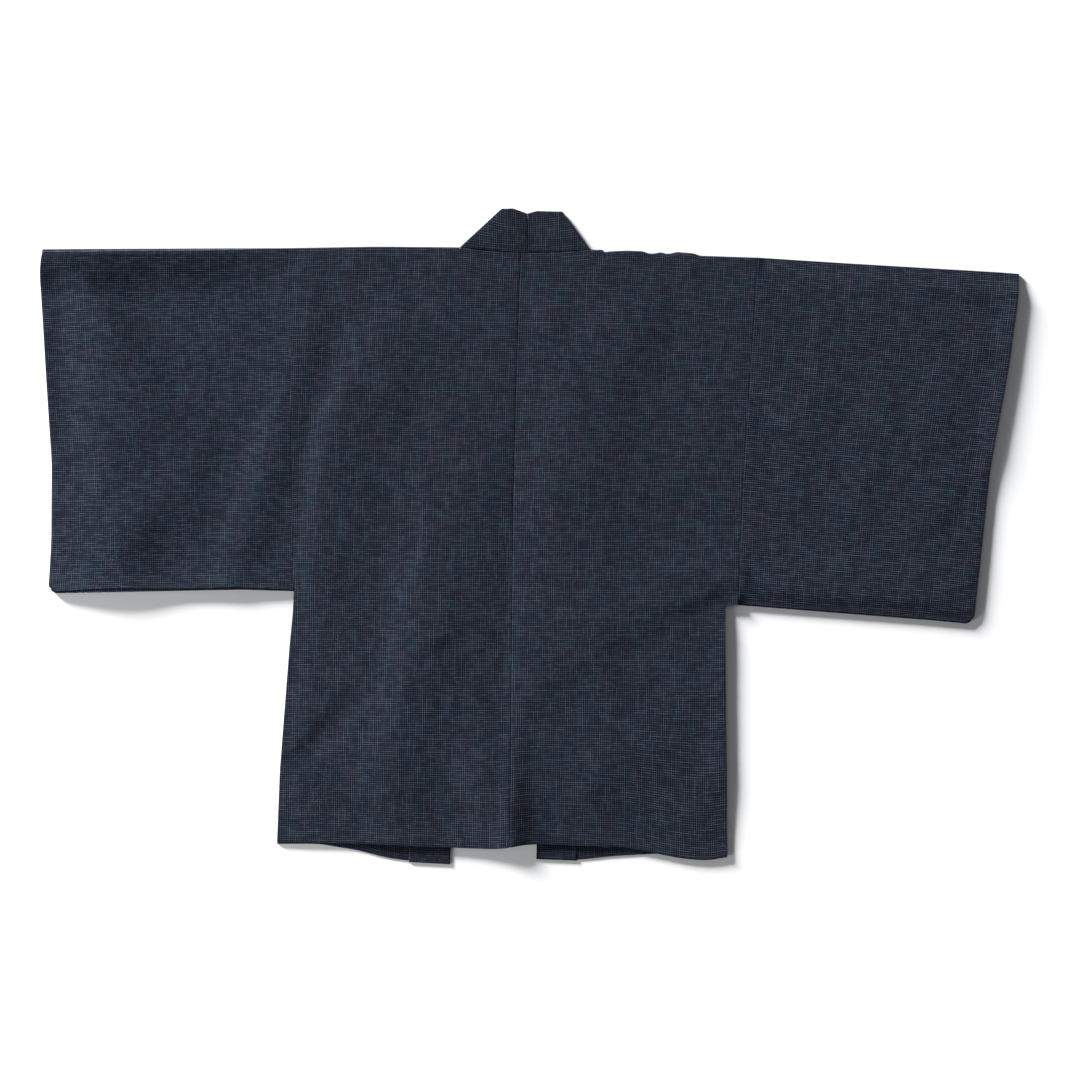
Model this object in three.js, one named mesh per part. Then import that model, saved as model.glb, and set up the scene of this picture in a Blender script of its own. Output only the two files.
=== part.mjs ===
// A haori, the hip-length jacket worn over a kimono, laid out flat with its back side up.
//
// Millimetres, +Z up. The underside lies on z = 0, the collar is at +Y and the hem at -Y. In the tables, x is
// measured across the garment with the wearer's left negative, and down is measured from the shoulder line
// towards the hem. Every panel is one closed wall of cloth, and panels that meet keep a small gap.

import * as THREE from 'three';
import { mergeVertices } from 'three/addons/utils/BufferGeometryUtils.js';

const { lerp, smoothstep, clamp } = THREE.MathUtils;

// ---------------------------------------------------------------- driving dimensions

const clothWall = 1.2;         // one layer of the woven cloth
const bandWall = 2.0;          // the collar band, folded double
const gap = 0.3;               // between neighbouring pieces, and between layers that lie on each other
const backLength = 806;        // shoulder line to back hem
const armpit = { left: 464, right: 483 };   // down to the underarm on each side
const underarmStep = 5;        // length over which the panel's edge steps in under the arm
const endEase = 240;           // the curves of shoulder and hem fade into the cloth over this length
const cuffOpening = 280;       // length of the open part of the sleeve's outer edge
const sleeveCorner = 13;       // radius of the sleeve's lower outer corner
const edgeRounding = 0.8;      // how much a folded edge is rounded off
const gussetTop = 12;          // width of the side gusset under the arm
const gussetHem = 56;          // and at the hem
const neckDip = 6;             // how far the back neckline curves below the shoulder line
const notch = { depth: 8, reach: 20 };      // pinch at the collar's centre seam
const drapeMargin = 28;        // cloth over a band stays level this far past the band's edge
const drapeEase = 22;          // and then comes down over this length

// ---------------------------------------------------------------- outline tables

// Edges of the body: the sleeve seams and, below the arms, the sides, with the centre back seam between.
const bodyRows = [
  { down: 0, left: -329, seam: -12, right: 310 },
  { down: 165, left: -326, seam: -18, right: 300 },
  { down: 315, left: -324, seam: -22, right: 290 },
  { down: 464, left: -321, seam: -24, right: 284 },
  { down: 483, left: -322, seam: -24, right: 284 },
  { down: 488, left: -322, seam: -24, right: 266 },
  { down: 540, left: -327, seam: -25, right: 266 },
  { down: 707, left: -340, seam: -26, right: 268 },
  { down: 806, left: -344, seam: -27, right: 269 },
];

// Shoulder fold and the sleeves' top fold.
const shoulderRows = [
  { x: -662, down: -1 },
  { x: -329, down: -3 },
  { x: -208, down: -5 },
  { x: -95, down: -4 },
  { x: 83, down: -1 },
  { x: 154, down: 1 },
  { x: 229, down: 7 },
  { x: 313, down: 10 },
  { x: 422, down: 17 },
  { x: 641, down: 30 },
  { x: 666, down: 32 },
];

const backHemRows = [
  { x: -344, down: 806 },
  { x: -233, down: 808 },
  { x: -107, down: 813 },
  { x: -44, down: 815 },
  { x: 0, down: 808 },
  { x: 66, down: 811 },
  { x: 132, down: 813 },
  { x: 207, down: 828 },
  { x: 245, down: 831 },
  { x: 269, down: 825 },
];

const frontHemRows = {
  left: [
    { x: -344, down: 808 },
    { x: -288, down: 808 },
    { x: -233, down: 817 },
    { x: -195, down: 827 },
    { x: -166, down: 831 },
  ],
  right: [
    { x: 65, down: 830 },
    { x: 112, down: 825 },
    { x: 164, down: 822 },
    { x: 269, down: 818 },
  ],
};

// The bands along the two front edges, from the shoulder line to their lower ends.
const bandRows = {
  left: [
    { down: 0, outer: -95, inner: -36 },
    { down: 834, outer: -165, inner: -109 },
  ],
  right: [
    { down: 0, outer: 83, inner: 29 },
    { down: 830, outer: 64, inner: 9 },
  ],
};

// The collar behind the neck: where it turns under at the seam edge and at the free edge, and its lower end.
const collarTurns = {
  left: { seamX: -90, freeX: -37, freeDown: -58, endOuter: 833, endInner: 836 },
  right: { seamX: 82, freeX: 44, freeDown: -54, endOuter: 831, endInner: 829 },
};
const collarSeamX = -2;

// The sleeves' outer and lower edges. Both run to the corner point, which is then rounded.
const sleeveEdges = {
  left: {
    cuff: [
      { x: -662, down: -1 },
      { x: -666, down: 33 },
      { x: -657, down: 182 },
      { x: -650, down: 290 },
      { x: -651, down: 400 },
      { x: -655, down: 467 },
    ],
    bottom: [
      { x: -321, down: 464 },
      { x: -394, down: 462 },
      { x: -500, down: 464 },
      { x: -655, down: 467 },
    ],
  },
  right: {
    cuff: [
      { x: 666, down: 32 },
      { x: 665, down: 63 },
      { x: 652, down: 160 },
      { x: 627, down: 295 },
      { x: 616, down: 400 },
      { x: 604, down: 509 },
    ],
    bottom: [
      { x: 284, down: 483 },
      { x: 449, down: 496 },
      { x: 540, down: 503 },
      { x: 604, down: 509 },
    ],
  },
};

// Largest folds of the upper layer, each a crest followed from its first row. rise is its height above the
// cloth around it. leftFlank and rightFlank are the lengths of its slopes: on a crest that runs towards the
// hem, leftFlank is on the wearer's left.
const folds = {
  leftShoulderBlade: [
    { x: -212, down: 64, rise: 0, leftFlank: 28, rightFlank: 60 },
    { x: -248, down: 148, rise: 4, leftFlank: 30, rightFlank: 60 },
    { x: -274, down: 252, rise: 6, leftFlank: 32, rightFlank: 64 },
    { x: -290, down: 380, rise: 5, leftFlank: 30, rightFlank: 60 },
    { x: -296, down: 470, rise: 0, leftFlank: 24, rightFlank: 50 },
  ],
  leftBack: [
    { x: -115, down: 150, rise: 0, leftFlank: 50, rightFlank: 40 },
    { x: -122, down: 320, rise: 3, leftFlank: 50, rightFlank: 40 },
    { x: -134, down: 466, rise: 4, leftFlank: 46, rightFlank: 34 },
    { x: -144, down: 585, rise: 6, leftFlank: 44, rightFlank: 34 },
    { x: -174, down: 665, rise: 6, leftFlank: 46, rightFlank: 40 },
    { x: -180, down: 812, rise: 7, leftFlank: 50, rightFlank: 42 },
  ],
  centreBack: [
    { x: 62, down: 160, rise: 0, leftFlank: 60, rightFlank: 46 },
    { x: 55, down: 272, rise: 4, leftFlank: 64, rightFlank: 50 },
    { x: 36, down: 430, rise: 0, leftFlank: 50, rightFlank: 50 },
  ],
  centreHem: [
    { x: -40, down: 560, rise: 0, leftFlank: 60, rightFlank: 40 },
    { x: -37, down: 694, rise: 5, leftFlank: 66, rightFlank: 32 },
    { x: -38, down: 815, rise: 8, leftFlank: 72, rightFlank: 34 },
  ],
  rightUnderarmDrag: [
    { x: 276, down: 440, rise: 0, leftFlank: 22, rightFlank: 30 },
    { x: 250, down: 478, rise: 5, leftFlank: 24, rightFlank: 46 },
    { x: 160, down: 522, rise: 4, leftFlank: 30, rightFlank: 56 },
    { x: 82, down: 555, rise: 3, leftFlank: 34, rightFlank: 60 },
    { x: 20, down: 620, rise: 0, leftFlank: 30, rightFlank: 50 },
  ],
  leftSleeveInner: [
    { x: -338, down: 180, rise: 0, leftFlank: 34, rightFlank: 36 },
    { x: -345, down: 250, rise: 4, leftFlank: 36, rightFlank: 40 },
    { x: -380, down: 354, rise: 5, leftFlank: 40, rightFlank: 40 },
    { x: -416, down: 455, rise: 0, leftFlank: 30, rightFlank: 36 },
  ],
  leftSleeveMiddle: [
    { x: -486, down: 190, rise: 0, leftFlank: 70, rightFlank: 36 },
    { x: -470, down: 258, rise: 4, leftFlank: 80, rightFlank: 38 },
    { x: -503, down: 340, rise: 5, leftFlank: 80, rightFlank: 40 },
    { x: -585, down: 400, rise: 0, leftFlank: 60, rightFlank: 40 },
  ],
  leftSleeveOuter: [
    { x: -640, down: 50, rise: 0, leftFlank: 60, rightFlank: 40 },
    { x: -585, down: 88, rise: 4, leftFlank: 80, rightFlank: 40 },
    { x: -537, down: 140, rise: 4, leftFlank: 80, rightFlank: 40 },
    { x: -496, down: 204, rise: 0, leftFlank: 60, rightFlank: 40 },
  ],
  rightSleeveHem: [
    { x: 296, down: 466, rise: 0, leftFlank: 20, rightFlank: 30 },
    { x: 440, down: 480, rise: 3, leftFlank: 20, rightFlank: 34 },
    { x: 560, down: 489, rise: 3, leftFlank: 20, rightFlank: 34 },
    { x: 600, down: 494, rise: 0, leftFlank: 20, rightFlank: 30 },
  ],
  rightCuff: [
    { x: 590, down: 306, rise: 0, leftFlank: 40, rightFlank: 30 },
    { x: 556, down: 352, rise: 3, leftFlank: 44, rightFlank: 30 },
    { x: 505, down: 410, rise: 0, leftFlank: 40, rightFlank: 30 },
  ],
};

// ---------------------------------------------------------------- reading the tables

const signs = { left: -1, right: 1 };

/** Value of a column at a position along another column, straight between rows. */
function readTable(rows, keyColumn, key, column) {
  const next = clamp(rows.findIndex((row) => row[keyColumn] >= key), -1, rows.length - 1);
  if (next === 0) return rows[0][column];
  if (next < 0) return rows.at(-1)[column];
  const before = rows[next - 1];
  const after = rows[next];
  const share = (key - before[keyColumn]) / (after[keyColumn] - before[keyColumn]);
  return lerp(before[column], after[column], share);
}

const shoulderDown = (x) => readTable(shoulderRows, 'x', x, 'down');
const backHemDown = (x) => readTable(backHemRows, 'x', x, 'down');
const frontHemDown = (side, x) => readTable(frontHemRows[side], 'x', x, 'down');
const sideX = (side, down) => readTable(bodyRows, 'down', down, side);
const bandX = (side, edge, down) => readTable(bandRows[side], 'down', down, edge);

/** Evenly spaced numbers from start to end, both included. */
function spread(start, end, count) {
  return Array.from({ length: count + 1 }, (_, index) => lerp(start, end, index / count));
}

/** A point given by its place in the tables and its height. */
function place(x, down, z) {
  return new THREE.Vector3(x, -down, z);
}

// ---------------------------------------------------------------- heights of the upper layer

/** Rise of one fold at a place: a cosine slope on each side of its crest. */
function foldRise(crest, x, down) {
  let rise = 0;
  for (let index = 1; index < crest.length; index += 1) {
    const start = crest[index - 1];
    const end = crest[index];
    const run = { x: end.x - start.x, down: end.down - start.down };
    const offset = { x: x - start.x, down: down - start.down };
    const along = (offset.x * run.x + offset.down * run.down) / (run.x ** 2 + run.down ** 2);
    const share = clamp(along, 0, 1);
    const distance = Math.hypot(offset.x - share * run.x, offset.down - share * run.down);
    const flank = run.x * offset.down - run.down * offset.x > 0 ? 'leftFlank' : 'rightFlank';
    const reach = Math.min(distance / lerp(start[flank], end[flank], share), 1);
    const height = lerp(start.rise, end.rise, share) * 0.5 * (1 + Math.cos(Math.PI * reach));
    rise = Math.max(rise, height);
  }
  return rise;
}

/** Rise of all the folds together. */
function drape(x, down) {
  return Object.values(folds).reduce((sum, crest) => sum + foldRise(crest, x, down), 0);
}

/** Top of the cloth that the upper layer lies on: a front panel, a band, or nothing between the bands. */
function supportTop(x, down) {
  const middle = (bandX('left', 'inner', down) + bandX('right', 'inner', down)) / 2;
  const side = x < middle ? 'left' : 'right';
  const outside = signs[side] * (x - bandX(side, 'outer', down));
  const inside = signs[side] * (bandX(side, 'inner', down) - x);
  const pastOuter = smoothstep(outside, drapeMargin, drapeMargin + drapeEase);
  const pastInner = smoothstep(inside, drapeMargin, drapeMargin + drapeEase);
  return lerp(bandWall, clothWall, pastOuter) - bandWall * pastInner;
}

/** Underside of the upper layer. */
function upperUnderside(x, down) {
  return supportTop(x, down) + gap + drape(x, down);
}

// ---------------------------------------------------------------- closed walls from grids

/** Collects quads and closes them into one geometry that faces out. */
class Wall {
  constructor() {
    this.triangles = [];
  }

  quad(a, b, c, d) {
    this.triangles.push([a, b, c], [a, c, d]);
  }

  volume() {
    const sixfold = this.triangles.reduce((sum, [a, b, c]) => sum + a.dot(b.clone().cross(c)), 0);
    return sixfold / 6;
  }

  geometry() {
    const inward = this.volume() < 0;
    const corners = this.triangles.flatMap(([a, b, c]) => (inward ? [a, c, b] : [a, b, c]));
    const geometry = new THREE.BufferGeometry().setFromPoints(corners);
    return mergeVertices(geometry, 1e-4);
  }
}

/**
 * A single layer of cloth. rows[r][c] holds the two faces of the wall at a grid point, or null where the
 * panel is cut away.
 */
function singleLayer(rows) {
  const wall = new Wall();
  const present = (r, c) => [rows[r]?.[c], rows[r]?.[c + 1], rows[r + 1]?.[c], rows[r + 1]?.[c + 1]].every(Boolean);
  const edge = (from, to) => wall.quad(from.outer, to.outer, to.inner, from.inner);
  for (let r = 0; r < rows.length - 1; r += 1) {
    for (let c = 0; c < rows[r].length - 1; c += 1) {
      if (!present(r, c)) continue;
      const [a, b, d, e] = [rows[r][c], rows[r][c + 1], rows[r + 1][c + 1], rows[r + 1][c]];
      wall.quad(a.outer, e.outer, d.outer, b.outer);
      wall.quad(a.inner, b.inner, d.inner, e.inner);
      if (!present(r - 1, c)) edge(a, b);
      if (!present(r, c + 1)) edge(b, d);
      if (!present(r + 1, c)) edge(d, e);
      if (!present(r, c - 1)) edge(e, a);
    }
  }
  return wall.geometry();
}

/**
 * Two layers that lie on each other and join where a cell isn't hollow. rows[r][c] holds four points, from
 * the underside of the lower layer to the top of the upper one.
 */
function doubleLayer(rows, isHollow) {
  const wall = new Wall();
  const inGrid = (r, c) => r >= 0 && c >= 0 && r < rows.length - 1 && c < rows[0].length - 1;
  const band = (from, to, level) => wall.quad(from[level + 1], to[level + 1], to[level], from[level]);
  const side = (r, c, from, to) => {
    if (inGrid(r, c)) return;
    band(from, to, 0);
    band(from, to, 2);
  };
  for (let r = 0; r < rows.length - 1; r += 1) {
    for (let c = 0; c < rows[0].length - 1; c += 1) {
      const [a, b, d, e] = [rows[r][c], rows[r][c + 1], rows[r + 1][c + 1], rows[r + 1][c]];
      const hollow = isHollow(r, c);
      wall.quad(a[3], e[3], d[3], b[3]);
      wall.quad(a[0], b[0], d[0], e[0]);
      if (hollow) {
        wall.quad(a[2], b[2], d[2], e[2]);
        wall.quad(a[1], e[1], d[1], b[1]);
      }
      const neighbours = [[r - 1, c, a, b], [r, c + 1, b, d], [r + 1, c, d, e], [r, c - 1, e, a]];
      for (const [nr, nc, from, to] of neighbours) {
        side(nr, nc, from, to);
        const openBeyond = inGrid(nr, nc) && isHollow(nr, nc);
        if (!hollow && (openBeyond || !inGrid(nr, nc))) band(from, to, 1);
      }
    }
  }
  return wall.geometry();
}

// ---------------------------------------------------------------- body panels

const neckColumns = 4;         // between the centre back and the neck point
const shoulderColumns = 9;     // between the neck point and the side
const armRows = 11;            // down to the armpit
const sideRows = 8;            // from there to the hem
const foldAngles = [60, 20, -20, -60];

/** Distances down at which the back is divided, so that panel and sleeve share them. */
function backStations(side) {
  const below = armpit[side] + underarmStep;
  return [...spread(0, armpit[side], armRows), ...spread(below, backLength, sideRows)];
}

/** Distance down at a station, bent near the ends so that the panel starts at the shoulder and ends at its hem. */
function panelDown(x, station, hemDown) {
  const nearShoulder = 1 - smoothstep(station, 0, endEase);
  const nearHem = smoothstep(station, backLength - endEase, backLength);
  return station + shoulderDown(x) * nearShoulder + (hemDown - backLength) * nearHem;
}

/** A place on the back panel: across from the centre seam (0) to the side (1), at a station. */
function backPlace(side, across, station) {
  const seam = readTable(bodyRows, 'down', station, 'seam') + signs[side] * gap / 2;
  const x = lerp(seam, sideX(side, station), across);
  return { x, down: panelDown(x, station, backHemDown(x)) };
}

/** Back neckline, a shallow curve between the two neck points. */
function necklineDown(x) {
  const [left, right] = [bandX('left', 'outer', 0), bandX('right', 'outer', 0)];
  const share = (2 * x - left - right) / (right - left);
  return shoulderDown(x) + neckDip * Math.max(0, 1 - share ** 2);
}

/** Front edge of the front panel, along its band. */
function frontEdge(side, station) {
  const nearby = bandX(side, 'outer', station);
  const down = panelDown(nearby, station, frontHemDown(side, nearby));
  return bandX(side, 'outer', down) + signs[side] * gap;
}

/** Side edge of the front panel: the sleeve seam and, below the arm, the gusset's seam. */
function frontSide(side, down) {
  const below = smoothstep(down, armpit[side], armpit[side] + underarmStep);
  const width = gussetWidth(side, down) + gap;
  return sideX(side, down) - signs[side] * width * below;
}

function gussetWidth(side, down) {
  return lerp(gussetTop, gussetHem, clamp((down - armpit[side]) / (backLength - armpit[side]), 0, 1));
}

/** One width of cloth from the back hem, over the shoulder, to the front hem. */
function bodyPanel(side) {
  const neckX = bandX(side, 'outer', 0) + signs[side] * gap;
  const top = backPlace(side, 0, 0).x;
  const neckShare = (neckX - top) / (backPlace(side, 1, 0).x - top);
  const across = [...spread(0, neckShare, neckColumns), ...spread(neckShare, 1, shoulderColumns).slice(1)];
  const stations = backStations(side);
  const isShoulder = (column) => column >= neckColumns;

  const foldRadius = (x) => (upperUnderside(x, shoulderDown(x)) + clothWall) / 2;
  const backRow = (station) => across.map((share, column) => {
    const spot = backPlace(side, share, station);
    if (station === 0) {
      spot.down = isShoulder(column) ? spot.down + foldRadius(spot.x) : necklineDown(spot.x);
    }
    const under = upperUnderside(spot.x, spot.down);
    return { outer: place(spot.x, spot.down, under + clothWall), inner: place(spot.x, spot.down, under) };
  });
  const foldRow = (angle) => across.map((share, column) => {
    if (!isShoulder(column)) return null;
    const { x } = backPlace(side, share, 0);
    const radius = foldRadius(x);
    const turn = THREE.MathUtils.degToRad(angle);
    const onArc = (r) => place(x, shoulderDown(x) + radius - r * Math.cos(turn), radius + r * Math.sin(turn));
    return { outer: onArc(radius), inner: onArc(radius - clothWall) };
  });
  const frontRow = (station) => across.map((share, column) => {
    if (!isShoulder(column)) return null;
    const edge = frontEdge(side, station);
    const frontShare = (column - neckColumns) / shoulderColumns;
    const x = lerp(edge, frontSide(side, station), frontShare);
    const down = panelDown(x, station, frontHemDown(side, x)) + (station === 0 ? foldRadius(x) : 0);
    return { outer: place(x, down, 0), inner: place(x, down, clothWall) };
  });

  return singleLayer([
    ...[...stations].reverse().map(backRow),
    ...foldAngles.map(foldRow),
    ...stations.map(frontRow),
  ]);
}

/** Tapered strip under the side of the back, from the underarm to the hem. */
function gusset(side) {
  const stations = spread(armpit[side] + underarmStep, backLength, sideRows);
  return singleLayer(stations.map((station) => spread(0, 1, 2).map((share) => {
    const seam = frontSide(side, station) + signs[side] * gap;
    const x = lerp(sideX(side, station), seam, share);
    const down = panelDown(x, station, frontHemDown(side, x));
    return { outer: place(x, down, 0), inner: place(x, down, clothWall) };
  })));
}

// ---------------------------------------------------------------- sleeves

const sleeveColumns = 10;

function edgeCurve(points) {
  return new THREE.SplineCurve(points.map(({ x, down }) => new THREE.Vector2(x, down)));
}

/** Pulls a place in the sleeve's lower outer corner onto a quarter circle. */
function roundCorner(spot, inward, downward) {
  const a = 1 - inward / sleeveCorner;
  const b = 1 - downward / sleeveCorner;
  if (a <= 0 || b <= 0) return spot;
  const pullX = a - a * Math.sqrt(1 - b * b / 2);
  const pullDown = b - b * Math.sqrt(1 - a * a / 2);
  return { x: spot.x - Math.sign(spot.x) * pullX * sleeveCorner, down: spot.down - pullDown * sleeveCorner };
}

/** One width of cloth folded along the top, sewn along the bottom and the lower outer edge. */
function sleeve(side) {
  const { cuff, bottom } = sleeveEdges[side];
  const sign = signs[side];
  const cuffCurve = edgeCurve(cuff);
  const bottomCurve = edgeCurve(bottom);
  const length = cuffCurve.getLength();
  const width = bottomCurve.getLength();
  const strip = clothWall;

  const seamStations = backStations(side).slice(0, armRows + 1);
  const shares = seamStations.map((station) => station / armpit[side]);
  const cornerShare = 1 - sleeveCorner / length;
  const downShares = [0, strip / length, ...shares.slice(1, -1), cornerShare, 1 - strip / length, 1];
  const outShares = [...spread(0, 1 - sleeveCorner / width, sleeveColumns), 1 - strip / width, 1];

  const seamPlace = (share) => {
    const spot = backPlace(side, 1, share * armpit[side]);
    return { x: spot.x + sign * gap, down: spot.down };
  };
  const topPlace = (share) => {
    const x = lerp(seamPlace(0).x, cuff[0].x, share);
    return { x, down: shoulderDown(x) };
  };
  const bottomPlace = (share) => {
    const { x, y } = bottomCurve.getPointAt(share);
    const start = seamPlace(1);
    const settle = Math.max(0, 1 - 4 * share);
    return { x: x + (start.x - bottom[0].x) * settle, down: y + (start.down - bottom[0].down) * settle };
  };
  const cuffPlace = (share) => {
    const { x, y } = cuffCurve.getPointAt(share);
    return { x, down: y };
  };
  const corners = { topIn: topPlace(0), topOut: topPlace(1), lowIn: bottomPlace(0), lowOut: bottomPlace(1) };

  /** Blends the four edges: out runs from seam to cuff, along runs from the top fold to the bottom. */
  const patch = (out, along, axis) => {
    const rails = lerp(topPlace(out)[axis], bottomPlace(out)[axis], along);
    const ends = lerp(seamPlace(along)[axis], cuffPlace(along)[axis], out);
    const upper = lerp(corners.topIn[axis], corners.topOut[axis], out);
    const lower = lerp(corners.lowIn[axis], corners.lowOut[axis], out);
    return rails + ends - lerp(upper, lower, along);
  };

  const isClosedOut = (along) => along * length > cuffOpening;
  const rows = downShares.map((along) => outShares.map((out) => {
    const raw = { x: patch(out, along, 'x'), down: patch(out, along, 'down') };
    const spot = roundCorner(raw, (1 - out) * width, (1 - along) * length);
    const fromEdge = Math.min(along * length, (1 - along) * length, isClosedOut(along) ? (1 - out) * width : width);
    const rise = drape(spot.x, spot.down) * smoothstep(fromEdge, 0, 2 * sleeveCorner);
    const pullDown = along === 0 ? edgeRounding : along === 1 ? -edgeRounding : 0;
    const pullIn = out === 1 && isClosedOut(along) ? -sign * edgeRounding : 0;
    const inset = (z) => place(spot.x + pullIn, spot.down + pullDown, z);
    const plain = (z) => place(spot.x, spot.down, z);
    const under = clothWall + gap + rise;
    return [inset(0), plain(clothWall), plain(under), inset(under + clothWall)];
  }));

  const lastRow = downShares.length - 2;
  const lastColumn = outShares.length - 2;
  const isHollow = (row, column) => {
    if (row === 0 || row === lastRow) return false;
    return column !== lastColumn || !isClosedOut(downShares[row + 1]);
  };
  return doubleLayer(rows, isHollow);
}

// ---------------------------------------------------------------- collar

const collarColumns = 4;       // from the seam edge to the free edge
const standRows = 5;           // from the centre back to the turn
const bandSteps = 12;          // from the turn to the hem

/** Half of the collar: it stands behind the neck, turns under and runs down the front edge as a band. */
function collarHalf(side) {
  const sign = signs[side];
  const turn = collarTurns[side];
  const seamTurn = new THREE.Vector2(turn.seamX, necklineDown(turn.seamX) - gap);
  const freeTurn = new THREE.Vector2(turn.freeX, turn.freeDown);
  const crease = freeTurn.clone().sub(seamTurn).normalize();
  const outward = new THREE.Vector2(sign * Math.abs(crease.y), -Math.abs(crease.x));
  const thickness = bandWall;
  const turnRadius = thickness + gap / 2;
  const widthShares = spread(0, 1, collarColumns);
  const centreX = collarSeamX + sign * gap / 2;

  const turnPlace = (share) => seamTurn.clone().lerp(freeTurn, share).addScaledVector(outward, -turnRadius);
  const standPlace = (share, along) => {
    const x = lerp(centreX, turnPlace(share).x, along);
    const nearSeam = 1 - smoothstep(Math.abs(x - collarSeamX), 0, notch.reach);
    const seamDown = necklineDown(x) - gap;
    const freeDown = turn.freeDown + turnRadius * along * -outward.y + notch.depth * nearSeam;
    return { x, down: lerp(lerp(seamDown, freeDown, share), turnPlace(share).y, along ** 4) };
  };
  const bandPlace = (share, along) => {
    const start = turnPlace(share);
    const down = lerp(start.y, lerp(turn.endOuter, turn.endInner, share), along);
    const x = lerp(bandX(side, 'outer', down), bandX(side, 'inner', down), share);
    return { x: down < 0 ? lerp(x, start.x, down / start.y) : x, down };
  };

  const standRow = (along) => widthShares.map((share) => {
    const { x, down } = standPlace(share, along);
    const top = 2 * turnRadius;
    return { outer: place(x, down, top), inner: place(x, down, top - thickness) };
  });
  const turnRow = (angle) => widthShares.map((share) => {
    const centre = turnPlace(share);
    const lean = THREE.MathUtils.degToRad(angle);
    const onArc = (r) => {
      const spot = centre.clone().addScaledVector(outward, r * Math.cos(lean));
      return place(spot.x, spot.y, turnRadius + r * Math.sin(lean));
    };
    return { outer: onArc(turnRadius), inner: onArc(turnRadius - thickness) };
  });
  const bandRow = (along) => widthShares.map((share) => {
    const { x, down } = bandPlace(share, along);
    return { outer: place(x, down, 0), inner: place(x, down, thickness) };
  });

  return singleLayer([
    ...spread(0, 1, standRows).map(standRow),
    ...foldAngles.map(turnRow),
    ...spread(0, 1, bandSteps).map(bandRow),
  ]);
}

// ---------------------------------------------------------------- assembly

const finishes = {
  body: { color: 0x2b323f, roughness: 0.85, metalness: 0 },
  sleeve: { color: 0x2c343f, roughness: 0.85, metalness: 0 },
  gusset: { color: 0x272e3a, roughness: 0.88, metalness: 0 },
  collar: { color: 0x29303b, roughness: 0.85, metalness: 0 },
};

const makers = { body: bodyPanel, sleeve, gusset, collar: collarHalf };

const haori = new THREE.Group();
for (const [piece, make] of Object.entries(makers)) {
  for (const side of Object.keys(signs)) {
    const mesh = new THREE.Mesh(make(side), new THREE.MeshStandardMaterial(finishes[piece]));
    mesh.name = `${piece}_${side}`;
    haori.add(mesh);
  }
}

// The origin is the middle of the laid garment, on the surface that it lies on.
const extent = new THREE.Box3().setFromObject(haori);
const middle = extent.getCenter(new THREE.Vector3());
haori.position.set(-middle.x, -middle.y, -extent.min.z);

export default haori;
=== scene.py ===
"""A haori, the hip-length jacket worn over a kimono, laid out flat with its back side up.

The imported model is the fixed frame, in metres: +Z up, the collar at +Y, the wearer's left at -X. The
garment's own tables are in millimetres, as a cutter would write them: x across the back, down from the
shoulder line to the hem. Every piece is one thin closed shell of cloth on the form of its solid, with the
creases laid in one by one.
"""

import logging
import math
from dataclasses import dataclass, field
from enum import Enum

import bpy
import numpy as np
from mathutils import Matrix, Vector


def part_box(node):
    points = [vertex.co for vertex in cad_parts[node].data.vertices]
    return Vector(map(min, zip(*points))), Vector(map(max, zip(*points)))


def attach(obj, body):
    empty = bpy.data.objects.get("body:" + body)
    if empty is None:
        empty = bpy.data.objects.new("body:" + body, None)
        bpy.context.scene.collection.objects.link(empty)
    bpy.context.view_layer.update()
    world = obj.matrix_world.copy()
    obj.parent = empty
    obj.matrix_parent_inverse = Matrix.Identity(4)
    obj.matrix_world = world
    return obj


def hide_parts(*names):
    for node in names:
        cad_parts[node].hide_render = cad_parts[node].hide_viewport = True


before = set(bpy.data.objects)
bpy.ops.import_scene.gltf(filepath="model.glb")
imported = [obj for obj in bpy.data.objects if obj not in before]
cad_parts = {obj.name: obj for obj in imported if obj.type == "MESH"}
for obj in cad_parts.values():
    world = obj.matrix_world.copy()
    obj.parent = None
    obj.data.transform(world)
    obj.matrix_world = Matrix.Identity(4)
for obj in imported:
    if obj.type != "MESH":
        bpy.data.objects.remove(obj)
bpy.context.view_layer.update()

MM = 0.001
NOISE_LATTICE = 128
NECK_STATION = np.zeros(1)
Array = np.ndarray
Colour = tuple[float, float, float, float]
log = logging.getLogger("haori")


class Side(Enum):
    """A side of the garment, as the wearer has it."""

    LEFT = "left"
    RIGHT = "right"

    @property
    def sign(self) -> float:
        """Direction of this side along x."""
        return -1.0 if self is Side.LEFT else 1.0


# -------------------------------------------------------------------------------- small helpers

def ease(low: float, high: float, value: Array) -> Array:
    """Soft step from 0 at low to 1 at high."""
    share = np.clip((value - low) / (high - low), 0.0, 1.0)
    return share * share * (3.0 - 2.0 * share)


def fade(reach: float, value: Array) -> Array:
    """Soft step from 1 at 0 down to 0 at reach."""
    return 1.0 - ease(0.0, reach, value)


def mix(start: Array, end: Array, share: Array) -> Array:
    """Value between start and end."""
    return start + (end - start) * share


def grain_at(across: Array, along: Array) -> Array:
    """Places in the flat cloth, in metres, from millimetres across and along it."""
    return np.stack(np.broadcast_arrays(across, along), -1) * MM


def quarter_round(distance: Array, radius: float) -> Array:
    """Height share of a rounded edge: 0 at the edge, 1 from radius on."""
    reach = np.clip(1.0 - distance / radius, 0.0, 1.0)
    return np.sqrt(1.0 - reach * reach)


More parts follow.
